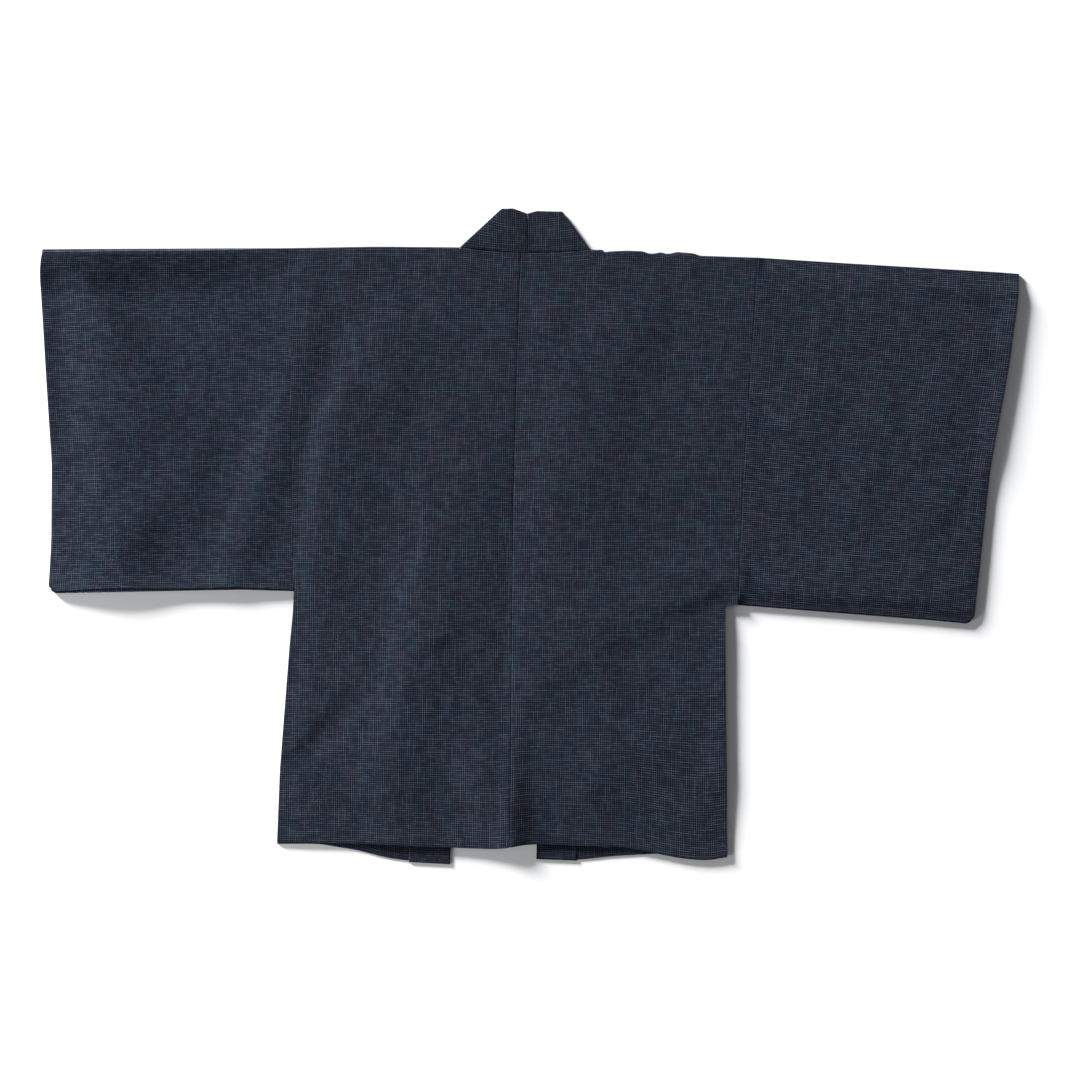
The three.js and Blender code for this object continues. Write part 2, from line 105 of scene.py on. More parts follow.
def graded(start: float, end: float, step: float, fine: tuple[float, ...] = (0.2, 0.7, 1.4, 2.6)) -> Array:
    """Places from start to end, even in the middle and closer together next to both ends.

    Args:
        start: First place.
        end: Last place, above the first.
        step: Distance between the even places.
        fine: Distances of the close places from either end.

    Returns:
        The places in rising order.
    """
    inner_start, inner_end = start + fine[-1], end - fine[-1]
    count = max(1, round((inner_end - inner_start) / step))
    head = [start] + [start + offset for offset in fine[:-1]]
    tail = [end - offset for offset in reversed(fine[:-1])] + [end]
    return np.concatenate([head, np.linspace(inner_start, inner_end, count + 1), tail])


def soft_noise(x: Array, y: Array, seed: int) -> Array:
    """Smooth seeded noise from -1 to 1 with features about one unit across."""
    lattice = np.random.default_rng(seed).uniform(-1.0, 1.0, (NOISE_LATTICE, NOISE_LATTICE))
    column, row = np.floor(x).astype(int), np.floor(y).astype(int)
    across, along = x - column, y - row
    across, along = (share ** 3 * (share * (share * 6 - 15) + 10) for share in (across, along))
    corner = [[lattice[(row + j) % NOISE_LATTICE, (column + i) % NOISE_LATTICE] for i in (0, 1)]
              for j in (0, 1)]
    near, far = (mix(pair[0], pair[1], across) for pair in corner)
    return mix(near, far, along)


@dataclass(frozen=True)
class Track:
    """A value along the garment, known at a few places and eased between them."""

    at: tuple[float, ...]
    value: tuple[float, ...]
    blur: float = 10.0

    def __call__(self, where: Array) -> Array:
        """Value at the places asked for, with its corners eased over twice the blur."""
        steps = np.linspace(-self.blur, self.blur, 9)
        return np.mean([np.interp(where + step, self.at, self.value) for step in steps], axis=0)


# -------------------------------------------------------------------------------- the cut

@dataclass(frozen=True)
class Cut:
    """Outline of the laid garment and the thickness of its cloth, in millimetres."""

    wall: float = 1.2
    band_wall: float = 2.0
    gap: float = 0.3
    seam_gap: float = 0.08
    back_length: float = 806.0
    end_ease: float = 240.0
    underarm_step: float = 1.5
    gusset_top: float = 12.0
    gusset_hem: float = 56.0
    neck_dip: float = 6.0
    armpit: dict[Side, float] = field(default_factory=lambda: {Side.LEFT: 464.0, Side.RIGHT: 483.0})
    centre_seam: Track = Track((0, 165, 315, 464, 707, 806), (-12, -18, -22, -24, -26, -27))
    sides: dict[Side, Track] = field(default_factory=lambda: {
        Side.LEFT: Track((0, 165, 315, 464, 488, 540, 707, 806),
                         (-329, -326, -324, -321, -322, -327, -340, -344)),
        Side.RIGHT: Track((0, 165, 315, 464, 483.4, 484.4, 540, 707, 806),
                          (310, 300, 290, 284, 284, 266, 266, 268, 269), blur=0.3),
    })
    shoulder: Track = Track(
        (-662, -329, -208, -95, 83, 95, 98, 101, 110, 132, 154, 163, 171, 178, 186, 192, 200, 216, 224, 232,
         313, 422, 641, 666),
        (-1, -3, -5, -4, -1, -0.5, -2.2, 2.6, 1.4, 0.4, 1.2, 4.6, 4.2, 2.4, 4.8, 4.4, 2.2, 3.4, 4.4, 7.4,
         10, 17, 30, 32), blur=1.5)
    shoulder_run: Track = Track((-662, -329, -208, -95, 95, 132, 232, 313, 422, 641, 666),
                                (-1, -3, -5, -4, -0.5, 1, 5.5, 10, 17, 30, 32), blur=24.0)
    pucker_reach: float = 26.0
    back_hem: Track = Track((-344, -233, -107, -44, 0, 66, 132, 207, 245, 269),
                            (806, 808, 813, 815, 808, 811, 813, 828, 831, 825), blur=14.0)
    front_hem: dict[Side, Track] = field(default_factory=lambda: {
        Side.LEFT: Track((-344, -288, -233, -195, -166), (808, 808, 817, 827, 831)),
        Side.RIGHT: Track((65, 112, 164, 269), (830, 825, 822, 818)),
    })
    band_outer: dict[Side, Track] = field(default_factory=lambda: {
        Side.LEFT: Track((0, 834), (-95, -165)), Side.RIGHT: Track((0, 830), (83, 64)),
    })
    band_inner: dict[Side, Track] = field(default_factory=lambda: {
        Side.LEFT: Track((0, 834), (-36, -109)), Side.RIGHT: Track((0, 830), (29, 9)),
    })

    @property
    def origin(self) -> tuple[float, float]:
        """Where the garment's own origin lies in the frame, in metres."""
        right_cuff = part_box("sleeve_right")[1].x
        lowest_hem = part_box("collar_left")[0].y
        return right_cuff - 666.0 * MM, lowest_hem + 836.0 * MM

    def place(self, x: Array, down: Array, z: Array) -> Array:
        """Points in the frame, in metres, from the garment's own millimetres."""
        origin_x, origin_y = self.origin
        return np.stack(np.broadcast_arrays(origin_x + x * MM, origin_y - down * MM, z * MM), axis=-1)

    def panel_down(self, x: Array, station: Array, hem_down: Array) -> Array:
        """Distance down at a station, bent so that the panel starts at the shoulder and ends at its hem."""
        run = self.shoulder_run(x)
        near_shoulder = run * fade(self.end_ease, station)
        pucker = (self.shoulder(x) - run) * fade(self.pucker_reach, station)
        to_hem = ease(self.back_length - self.end_ease, self.back_length, station)
        return station + near_shoulder + pucker + (hem_down - self.back_length) * to_hem

    def neckline(self, x: Array) -> Array:
        """Dip of the back neckline below the shoulder line."""
        left, right = (self.band_outer[side](NECK_STATION)[0] for side in Side)
        share = (2.0 * x - left - right) / (right - left)
        return self.neck_dip * np.maximum(0.0, 1.0 - share * share)

    def gusset_width(self, side: Side, down: Array) -> Array:
        """Width of the side strip at a distance down."""
        share = np.clip((down - self.armpit[side]) / (self.back_length - self.armpit[side]), 0.0, 1.0)
        return mix(self.gusset_top, self.gusset_hem, share)

    def front_side(self, side: Side, down: Array) -> Array:
        """Side edge of the front: the sleeve seam and, below the arm, the side strip's seam."""
        below = ease(self.armpit[side], self.armpit[side] + self.underarm_step, down)
        return self.sides[side](down) - side.sign * (self.gusset_width(side, down) + self.seam_gap) * below

    def front_edge(self, side: Side, station: Array) -> Array:
        """Front edge of the front, along its band."""
        nearby = self.band_outer[side](station)
        down = self.panel_down(nearby, station, self.front_hem[side](nearby))
        return self.band_outer[side](down) + side.sign * self.seam_gap


# -------------------------------------------------------------------------------- creases

@dataclass(frozen=True)
class Crease:
    """A soft ridge, or a trough where its rise is below zero, followed along its crest.

    Each row of the crest gives x, down, rise, left slope and right slope. On a crest that runs to the hem
    the left slope is on the wearer's left, and on one that runs to the wearer's right it is on the hem side.
    """

    crest: tuple[tuple[float, float, float, float, float], ...]

    def fine_crest(self) -> Array:
        """The crest with a smooth run between its rows."""
        rows = np.array(self.crest, float)
        padded = np.vstack([2 * rows[0] - rows[1], rows, 2 * rows[-1] - rows[-2]])
        share = np.linspace(0.0, 1.0, 5)[:-1, None]
        parts = []
        for before, start, end, after in zip(padded, padded[1:], padded[2:], padded[3:]):
            bend = 2 * start + (end - before) * share
            bend = bend + (2 * before - 5 * start + 4 * end - after) * share ** 2
            parts.append(0.5 * (bend + (3 * start - before - 3 * end + after) * share ** 3))
        return np.vstack([*parts, rows[-1:]])

    def height(self, x: Array, down: Array) -> Array:
        """Height of the crease over the cloth around it."""
        rows = self.fine_crest()
        sign = 1.0 if rows[:, 2].sum() >= 0 else -1.0
        reach = rows[:, 3:].max()
        near = ((x > rows[:, 0].min() - reach) & (x < rows[:, 0].max() + reach)
                & (down > rows[:, 1].min() - reach) & (down < rows[:, 1].max() + reach))
        spot_x, spot_down = x[near], down[near]
        best = np.zeros(spot_x.shape)
        for start, end in zip(rows, rows[1:]):
            run = end[:2] - start[:2]
            offset_x, offset_down = spot_x - start[0], spot_down - start[1]
            share = np.clip((offset_x * run[0] + offset_down * run[1]) / max(run @ run, 1e-9), 0.0, 1.0)
            distance = np.hypot(offset_x - share * run[0], offset_down - share * run[1])
            lean = run[0] * offset_down - run[1] * offset_x
            lean = lean / np.maximum(np.hypot(*run) * distance, 1e-9)
            leftward = 0.5 + 0.5 * np.clip(lean, -1.0, 1.0)
            slope = mix(mix(start[4], end[4], share), mix(start[3], end[3], share), leftward)
            profile = 0.5 * (1.0 + np.cos(np.pi * np.minimum(distance / slope, 1.0)))
            best = np.maximum(best, sign * mix(start[2], end[2], share) * profile)
        height = np.zeros(x.shape)
        height[near] = sign * best
        return height


# Each crease by its name, as rows of its crest: x, down, rise, left slope and right slope.
CREASES: dict[str, tuple[tuple[float, float, float, float, float], ...]] = {
    "left shoulder blade": (
        (-220, 100, 0, 30, 90), (-224, 125, 0.9, 30, 100), (-232, 152, 1.9, 32, 100),
        (-246, 182, 2.5, 34, 110), (-264, 227, 2.7, 34, 110), (-280, 300, 2.7, 34, 110),
        (-286, 360, 2.4, 32, 100), (-291, 430, 1.4, 30, 90), (-292, 480, 0, 30, 80)),
    "left back": (
        (-106, 240, 0, 50, 90), (-112, 330, 1, 50, 90), (-128, 400, 1.6, 52, 100),
        (-148, 470, 2.6, 54, 110), (-152, 530, 3, 54, 110), (-162, 585, 2.8, 54, 110),
        (-174, 640, 3, 56, 110), (-188, 694, 3.4, 60, 110), (-186, 748, 4, 64, 110), (-176, 815, 5, 68, 110)),
    "left side drag": (
        (-236, 590, 0, 24, 30), (-250, 625, -1.6, 26, 34), (-276, 655, -2, 26, 34),
        (-310, 690, -1.4, 24, 30), (-336, 712, 0, 24, 30)),
    "left back dimple": (
        (-126, 488, 0, 36, 20), (-122, 520, 0.4, 40, 22), (-136, 556, 0.5, 40, 22), (-150, 590, 0, 36, 20)),
    "left back upper": (
        (-186, 70, 0, 60, 40), (-182, 110, 1, 60, 40), (-180, 160, 1.3, 60, 40), (-182, 205, 0.9, 60, 40),
        (-190, 250, 0, 50, 40)),
    "left shoulder seam": (
        (-306, 30, 0, 60, 40), (-302, 80, 1.6, 60, 40), (-308, 130, 1.8, 60, 38), (-318, 190, 0, 50, 30)),
    "centre upper": (
        (34, 60, 0, 30, 40), (30, 100, 1, 32, 40), (34, 136, 0, 30, 40)),
    "centre back": (
        (76, 110, 0, 60, 90), (72, 160, 1.8, 60, 120), (60, 220, 2, 66, 140), (48, 290, 2.2, 66, 150),
        (40, 360, 1.8, 60, 140), (34, 430, 0, 56, 90)),
    "centre hem": (
        (-40, 600, 0, 80, 50), (-37, 670, 1.4, 90, 44), (-35, 720, 4, 100, 44), (-34, 760, 5.2, 100, 46),
        (-34, 818, 5.8, 100, 46)),
    "right neck point": (
        (118, 80, 0, 24, 40), (120, 120, 0.5, 26, 44), (118, 180, 0.5, 26, 44), (114, 220, 0, 24, 40)),
    "right back upper": (
        (154, 66, 0, 40, 34), (154, 96, 1.3, 60, 34), (152, 136, 1.3, 60, 34), (148, 172, 0, 50, 34)),
    "right underarm drag": (
        (282, 440, 0, 40, 20), (262, 454, 1.2, 80, 22), (232, 466, 1.9, 100, 24), (190, 482, 1.8, 110, 30),
        (140, 498, 1.5, 110, 40), (96, 508, 1.3, 100, 54), (50, 545, 1.2, 90, 60), (0, 600, 0.9, 70, 60),
        (-20, 650, 0, 50, 50)),
    "right underarm tuck": (
        (284, 390, 0, 26, 18), (286, 420, 0.6, 30, 22), (286, 462, 0.6, 30, 22), (285, 490, 0.2, 26, 20)),
    "right back low": (
        (246, 610, 0, 60, 70), (160, 672, 0.9, 66, 80), (92, 722, 0.9, 60, 70), (44, 800, 0, 50, 60)),
    "right hem": (
        (240, 700, 0, 60, 40), (232, 760, 1, 70, 40), (226, 822, 1.6, 80, 44)),
    "left sleeve top": (
        (-668, -2, 7, 70, 30), (-620, -2, 7.8, 72, 30), (-540, -3, 6.4, 68, 30), (-450, -4, 5, 64, 30),
        (-380, -4, 2.2, 60, 30), (-330, -4, 0, 50, 30)),
    "left cuff": (
        (-636, 70, 0, 40, 60), (-604, 120, 2, 56, 80), (-584, 190, 3.6, 74, 110), (-566, 290, 4.6, 92, 120),
        (-566, 390, 4.8, 94, 110), (-570, 458, 4.4, 90, 100)),
    "left sleeve outer": (
        (-610, 40, 0, 60, 50), (-594, 68, 2.6, 80, 50), (-556, 130, 3, 90, 60), (-516, 190, 3.2, 100, 60),
        (-470, 222, 2.4, 100, 60), (-440, 238, 0, 80, 50)),
    "left sleeve tuck": (
        (-612, 40, 0, 40, 18), (-594, 66, 1.8, 50, 20), (-560, 108, 2.2, 50, 22), (-536, 134, 0, 40, 20)),
    "left sleeve fold": (
        (-480, 290, 0, 60, 40), (-496, 330, 1.3, 60, 46), (-524, 370, 1.5, 60, 46),
        (-556, 410, 0.8, 60, 44), (-575, 440, 0, 50, 36)),
    "left sleeve middle": (
        (-450, 235, 0, 50, 36), (-456, 290, 1.5, 54, 38), (-466, 350, 1.6, 54, 38), (-476, 405, 0, 40, 34)),
    "left sleeve inner": (
        (-330, 170, 0, 34, 50), (-338, 215, 1.7, 36, 52), (-358, 280, 2.4, 38, 54),
        (-372, 340, 2.3, 38, 54), (-400, 420, 1.9, 38, 48), (-410, 455, 1, 34, 40)),
    "left sleeve bottom": (
        (-648, 467, 0.8, 12, 30), (-600, 467, 2, 12, 36), (-480, 466, 2.2, 12, 40), (-380, 466, 2, 12, 40),
        (-326, 466, 0, 12, 30)),
    "right sleeve bottom": (
        (296, 452, 0, 26, 50), (340, 460, 0.8, 28, 70), (440, 468, 1, 28, 70), (540, 474, 1, 28, 70),
        (592, 478, 0, 24, 50)),
    "right sleeve first": (
        (402, 150, 0, 40, 30), (372, 260, 0.6, 48, 36), (348, 380, 0, 36, 28)),
    "right sleeve second": (
        (498, 190, 0, 40, 34), (462, 300, 0.6, 50, 40), (420, 420, 0, 38, 30)),
    "right sleeve third": (
        (584, 130, 0, 40, 34), (548, 230, 0.6, 50, 40), (512, 320, 0, 38, 32)),
    "right cuff": (
        (600, 290, 0, 40, 34), (572, 330, 0.6, 44, 34), (540, 370, 0.6, 44, 34), (504, 410, 0, 40, 34)),
}


@dataclass(frozen=True)
class Drape:
    """Height of the upper layer over what it lies on, in millimetres."""

    cut: Cut
    band_level: float = 14.0
    band_fall: float = 60.0
    crumple: float = 0.17
    strength: float = 1.04
    loft: float = 2.2
    least: float = 0.5
    broad_wave: tuple[float, float] = (30.0, 110.0)
    fine_wave: tuple[float, float] = (13.0, 46.0)
    loose_wave: tuple[float, float] = (70.0, 62.0)
    creases: dict[str, Crease] = field(
        default_factory=lambda: {name: Crease(crest) for name, crest in CREASES.items()})

    def support(self, x: Array, down: Array) -> Array:
        """Top of what the upper layer lies on: a front, a band, or nothing between the bands."""
        cut = self.cut
        middle = (cut.band_inner[Side.LEFT](down) + cut.band_inner[Side.RIGHT](down)) / 2.0
        top = np.zeros(np.broadcast(x, down).shape)
        for side in Side:
            outside = side.sign * (x - cut.band_outer[side](down))
            inside = side.sign * (cut.band_inner[side](down) - x)
            past_outer = ease(self.band_level, self.band_level + self.band_fall, outside)
            past_inner = ease(self.band_level, self.band_level + self.band_fall, inside)
            level = mix(cut.band_wall, cut.wall, past_outer) - cut.band_wall * past_inner
            top = np.where(side.sign * (x - middle) >= 0, level, top)
        return top

    def crumpled(self, x: Array, down: Array) -> Array:
        """Low, stretched unevenness that laid cloth keeps, slanted on the sleeves and near the hem."""
        slant = 0.45 * ease(260.0, 380.0, np.abs(x)) + 0.3 * ease(460.0, 620.0, down)
        along = down * np.cos(slant) - x * np.sin(slant)
        across = x * np.cos(slant) + down * np.sin(slant)
        broad = soft_noise(across / self.broad_wave[0], along / self.broad_wave[1] + 40.0, 11)
        fine = soft_noise(across / self.fine_wave[0], along / self.fine_wave[1] + 7.0, 23)
        loose = soft_noise(x / self.loose_wave[0], down / self.loose_wave[1] + 3.0, 5)
        return self.crumple * (broad + 0.42 * fine + 1.1 * loose)

    def rise(self, x: Array, down: Array) -> Array:
        """Height of all creases over the cloth's resting level, never below it."""
        x, down = np.broadcast_arrays(x, down)
        height = sum(crease.height(x, down) for crease in self.creases.values())
        return np.maximum(self.strength * height + self.loft, self.least) + self.crumpled(x, down)


# -------------------------------------------------------------------------------- shells of cloth

@dataclass
class Shell:
    """A thin closed wall of cloth on a grid of points.

    Attributes:
        outer: Points of the face that shows, by row and column, in metres.
        inner: Points of the other face.
        grain: Each point's place in the flat cloth, in metres.
        present: Which cells of the grid are cloth, or None where all are.
        tube: Whether the last row joins the first.
    """

    outer: Array
    inner: Array
    grain: Array
    present: Array | None = None
    tube: bool = False

    def build(self, name: str) -> bpy.types.Object:
        """Makes the mesh object with its grain as a named attribute.

        Args:
            name: The object's name.

        Returns:
            The new object, linked to the scene.
        """
        rows, columns = self.outer.shape[:2]
        cells = (rows if self.tube else rows - 1, columns - 1)
        present = np.ones(cells, bool) if self.present is None else self.present
        row, column = np.nonzero(present)
        next_row = (row + 1) % rows
        corner = [row * columns + column, row * columns + column + 1,
                  next_row * columns + column + 1, next_row * columns + column]
        under = rows * columns
        quads = [np.stack([corner[0], corner[3], corner[2], corner[1]], 1),
                 np.stack([corner[0], corner[1], corner[2], corner[3]], 1) + under]
        padded = np.zeros((cells[0] + 2, cells[1] + 2), bool)
        padded[1:-1, 1:-1] = present
        if self.tube:
            padded[0], padded[-1] = padded[-2], padded[1]
        steps = [(-1, 0, 0, 1), (0, 1, 1, 2), (1, 0, 2, 3), (0, -1, 3, 0)]
        for row_step, column_step, first, second in steps:
            rim = ~padded[row + 1 + row_step, column + 1 + column_step]
            start, end = corner[first][rim], corner[second][rim]
            quads.append(np.stack([start, end, end + under, start + under], 1))
        faces = np.concatenate(quads)
        points = np.concatenate([self.outer.reshape(-1, 3), self.inner.reshape(-1, 3)])
        grain = np.concatenate([self.grain.reshape(-1, 2)] * 2)
        used, faces = np.unique(faces, return_inverse=True)
        faces = faces.reshape(-1, 4)
        points, grain = points[used], grain[used]
        fan = points[faces]
        volume = sum((np.cross(fan[:, 0], fan[:, i]) * fan[:, i + 1]).sum() for i in (1, 2))
        if volume < 0:
            faces = faces[:, ::-1]

        mesh = bpy.data.meshes.new(name)
        mesh.from_pydata(points.tolist(), [], faces.tolist())
        attribute = mesh.attributes.new("grain", "FLOAT_VECTOR", "POINT")
        vectors = np.column_stack([grain, np.zeros(len(grain))])
        attribute.data.foreach_set("vector", vectors.astype(np.float32).ravel())
        mesh.shade_smooth()
        mesh.set_sharp_from_angle(angle=math.radians(50))
        piece = bpy.data.objects.new(name, mesh)
        bpy.context.scene.collection.objects.link(piece)
        return piece


# -------------------------------------------------------------------------------- garment pieces

@dataclass
class BodyPanel:
    """One width of cloth from the back hem, over the shoulder, to the front hem."""

    side: Side
    cut: Cut
    drape: Drape
    step: float = 3.3
    hidden_step: float = 12.0
    seam_round: float = 2.4
    seam_sink: float = 0.42
    side_sink: float = 0.2
    hem_allowance: float = 16.0
    hem_relief: float = 0.35
    side_settle: dict[Side, float] = field(default_factory=lambda: {Side.LEFT: 0.4, Side.RIGHT: 1.5})
    side_reach: float = 34.0
    hem_settle: float = 0.2
    hem_reach: float = 130.0
    hem_hold: float = 0.9
    hem_hold_x: float = -24.0
    hem_hold_reach: float = 48.0
    hem_round: float = 1.0
    hem_edge: float = 0.35
    stitch_dip: float = 0.3
    stitch_width: float = 1.4
    neck_reach: float = 60.0
    tuck_width: float = 1.3
    fold_reach: float = 30.0
    fold_angles: tuple[float, ...] = (78, 62, 44, 26, 8, -10, -30, -52, -74)

    @property
    def name(self) -> str:
        """Name of the panel's node."""
        return f"body_{self.side.value}"

    def edges(self, station: Array) -> tuple[Array, Array]:
        """Centre seam and side of the back at a station."""
        seam = self.cut.centre_seam(station) + self.side.sign * self.cut.seam_gap / 2.0
        return seam, self.cut.sides[self.side](station)

    def neck_x(self) -> float:
        """Place across where the neck ends and the shoulder begins."""
        return float(self.cut.band_outer[self.side](NECK_STATION)[0]) + self.side.sign * self.cut.seam_gap

    def columns(self) -> tuple[Array, int]:
        """Shares across from the seam to the side, and the number of them before the neck point."""
        seam, side = (float(edge[0]) for edge in self.edges(NECK_STATION))
        neck = self.neck_x()
        width, neck_width = abs(side - seam), abs(neck - seam)
        before = graded(0.0, neck_width, self.step)
        after = graded(neck_width, width, self.step)
        return np.concatenate([before, after[1:]]) / width, len(before) - 1

    def stations(self, step: float, fine: tuple[float, ...]) -> Array:
        """Stations from the shoulder to the hem, as a column, with extra ones where the underarm turns."""
        even = graded(0.0, self.cut.back_length, step, fine)
        turn = self.cut.armpit[self.side] + np.array((-0.4, 0.2, 0.9, 1.6, 2.4))
        apart = np.abs(even[:, None] - turn).min(axis=1) > 0.4
        return np.sort(np.concatenate([even[apart], turn]))[:, None]

    def build(self) -> Shell:
        """Lays the panel: back rows from the hem up, the shoulder's turn, then the front rows down."""
        cut, sign = self.cut, self.side.sign
        share, neck_column = self.columns()
        stations = self.stations(self.step, (0.3, 0.9, 1.8, 3.0))
        seam, side = self.edges(stations)
        x = mix(seam, side, share[None, :])
        down = cut.panel_down(x, stations, cut.back_hem(x))
        down = down + cut.neckline(x) * fade(self.neck_reach, stations)
        radius = self.turn_radius(x[0])
        past_neck = np.maximum(0.0, sign * (self.neck_x() - x[0]))
        tuck = radius * fade(self.tuck_width, past_neck)
        down = down + tuck[None, :] * fade(self.fold_reach, stations)
        under = self.underside(x, down)
        width = np.abs(side - seam)
        to_seam = share[None, :] * width
        to_side = (1.0 - share[None, :]) * width
        to_hem = cut.back_length - stations
        sink = (self.seam_sink * (1.0 - quarter_round(to_seam, self.seam_round))
                + self.side_sink * (1.0 - quarter_round(to_side, self.seam_round)))
        relief = self.hem_relief * (1.0 - ease(self.hem_allowance, self.hem_allowance + 2.0, to_hem))
        stitched = (to_hem - self.hem_allowance - 1.0) / self.stitch_width
        relief = relief - self.stitch_dip * np.exp(-stitched ** 2)
        top = under + cut.wall - sink + relief
        top = mix(under + self.hem_edge * cut.wall, top, quarter_round(to_hem, self.hem_round))
        back_outer = cut.place(x, down, top)[::-1]
        back_inner = cut.place(x, down, under)[::-1]
        back_grain = grain_at(sign * to_seam, stations)[::-1]

        turn = np.radians(np.array(self.fold_angles))[:, None]
        line = cut.shoulder(x[0])[None, :] + radius[None, :]
        turn_outer = cut.place(x[:1], line - radius * np.cos(turn), radius * (1.0 + np.sin(turn)))
        small = radius - cut.wall
        turn_inner = cut.place(x[:1], line - small * np.cos(turn), radius + small * np.sin(turn))
        turn_grain = grain_at(sign * to_seam[:1], -radius * (np.pi / 2 - turn))

        fronts = self.stations(self.hidden_step, (0.6, 2.0, 6.0))
        edge = cut.front_edge(self.side, fronts)
        neck_share = share[neck_column]
        front_share = np.clip((share - neck_share) / (1.0 - neck_share), 0.0, 1.0)[None, :]
        front_x = mix(edge, cut.front_side(self.side, fronts), front_share)
        front_down = cut.panel_down(front_x, fronts, cut.front_hem[self.side](front_x))
        front_down = front_down + radius[None, :] * fade(self.fold_reach, fronts)
        thin = cut.wall * mix(0.4, 1.0, quarter_round(cut.back_length - fronts, self.hem_round))
        front_outer = cut.place(front_x, front_down, np.zeros(front_x.shape))
        front_inner = cut.place(front_x, front_down, thin)
        front_grain = grain_at(sign * np.abs(front_x - seam[0]), -fronts)

        present = np.ones((len(stations) + len(turn) + len(fronts) - 1, len(share) - 1), bool)
        present[len(stations) - 1:, :neck_column] = False
        return Shell(np.concatenate([back_outer, turn_outer, front_outer]),
                     np.concatenate([back_inner, turn_inner, front_inner]),
                     np.concatenate([back_grain, turn_grain, front_grain]), present)

    def underside(self, x: Array, down: Array) -> Array:
        """Underside of the back, settled along the hem and the left side and raised along the right."""
        cut = self.cut
        from_side = np.abs(cut.sides[self.side](down) - x)
        loose = ease(cut.armpit[self.side] - 20.0, cut.armpit[self.side] + 40.0, down)
        settle = mix(1.0, mix(self.side_settle[self.side], 1.0, ease(0.0, self.side_reach, from_side)), loose)
        held = np.exp(-((x - self.hem_hold_x) / self.hem_hold_reach) ** 2)
        lowest = mix(self.hem_settle, self.hem_hold, held)
        settle = settle * mix(lowest, 1.0, ease(0.0, self.hem_reach, cut.back_hem(x) - down))
        return self.drape.support(x, down) + cut.gap + self.drape.rise(x, down) * settle

    def turn_radius(self, x: Array) -> Array:
        """Radius of the fold along the shoulder."""
        return (self.underside(x, self.cut.shoulder(x)) + self.cut.wall) / 2.0


@dataclass
class SideStrip:
    """Tapered strip sewn in between front and back, from the underarm to the hem."""

    side: Side
    cut: Cut
    rows: int = 60

    @property
    def name(self) -> str:
        """Name of the strip's node."""
        return f"gusset_{self.side.value}"

    def build(self) -> Shell:
        """Lays the strip flat under the side of the back."""
        cut, sign = self.cut, self.side.sign
        top = cut.armpit[self.side] + cut.underarm_step
        stations = np.linspace(top, cut.back_length, self.rows)[:, None]
        share = np.linspace(0.0, 1.0, 9)[None, :]
        outer_edge = cut.sides[self.side](stations)
        seam = cut.front_side(self.side, stations) + sign * cut.seam_gap
        x = mix(outer_edge, seam, share)
        down = cut.panel_down(x, stations, cut.front_hem[self.side](x))
        level = np.zeros(x.shape)
        grain = grain_at(share * cut.gusset_hem, stations)
        return Shell(cut.place(x, down, level + cut.wall), cut.place(x, down, level), grain)


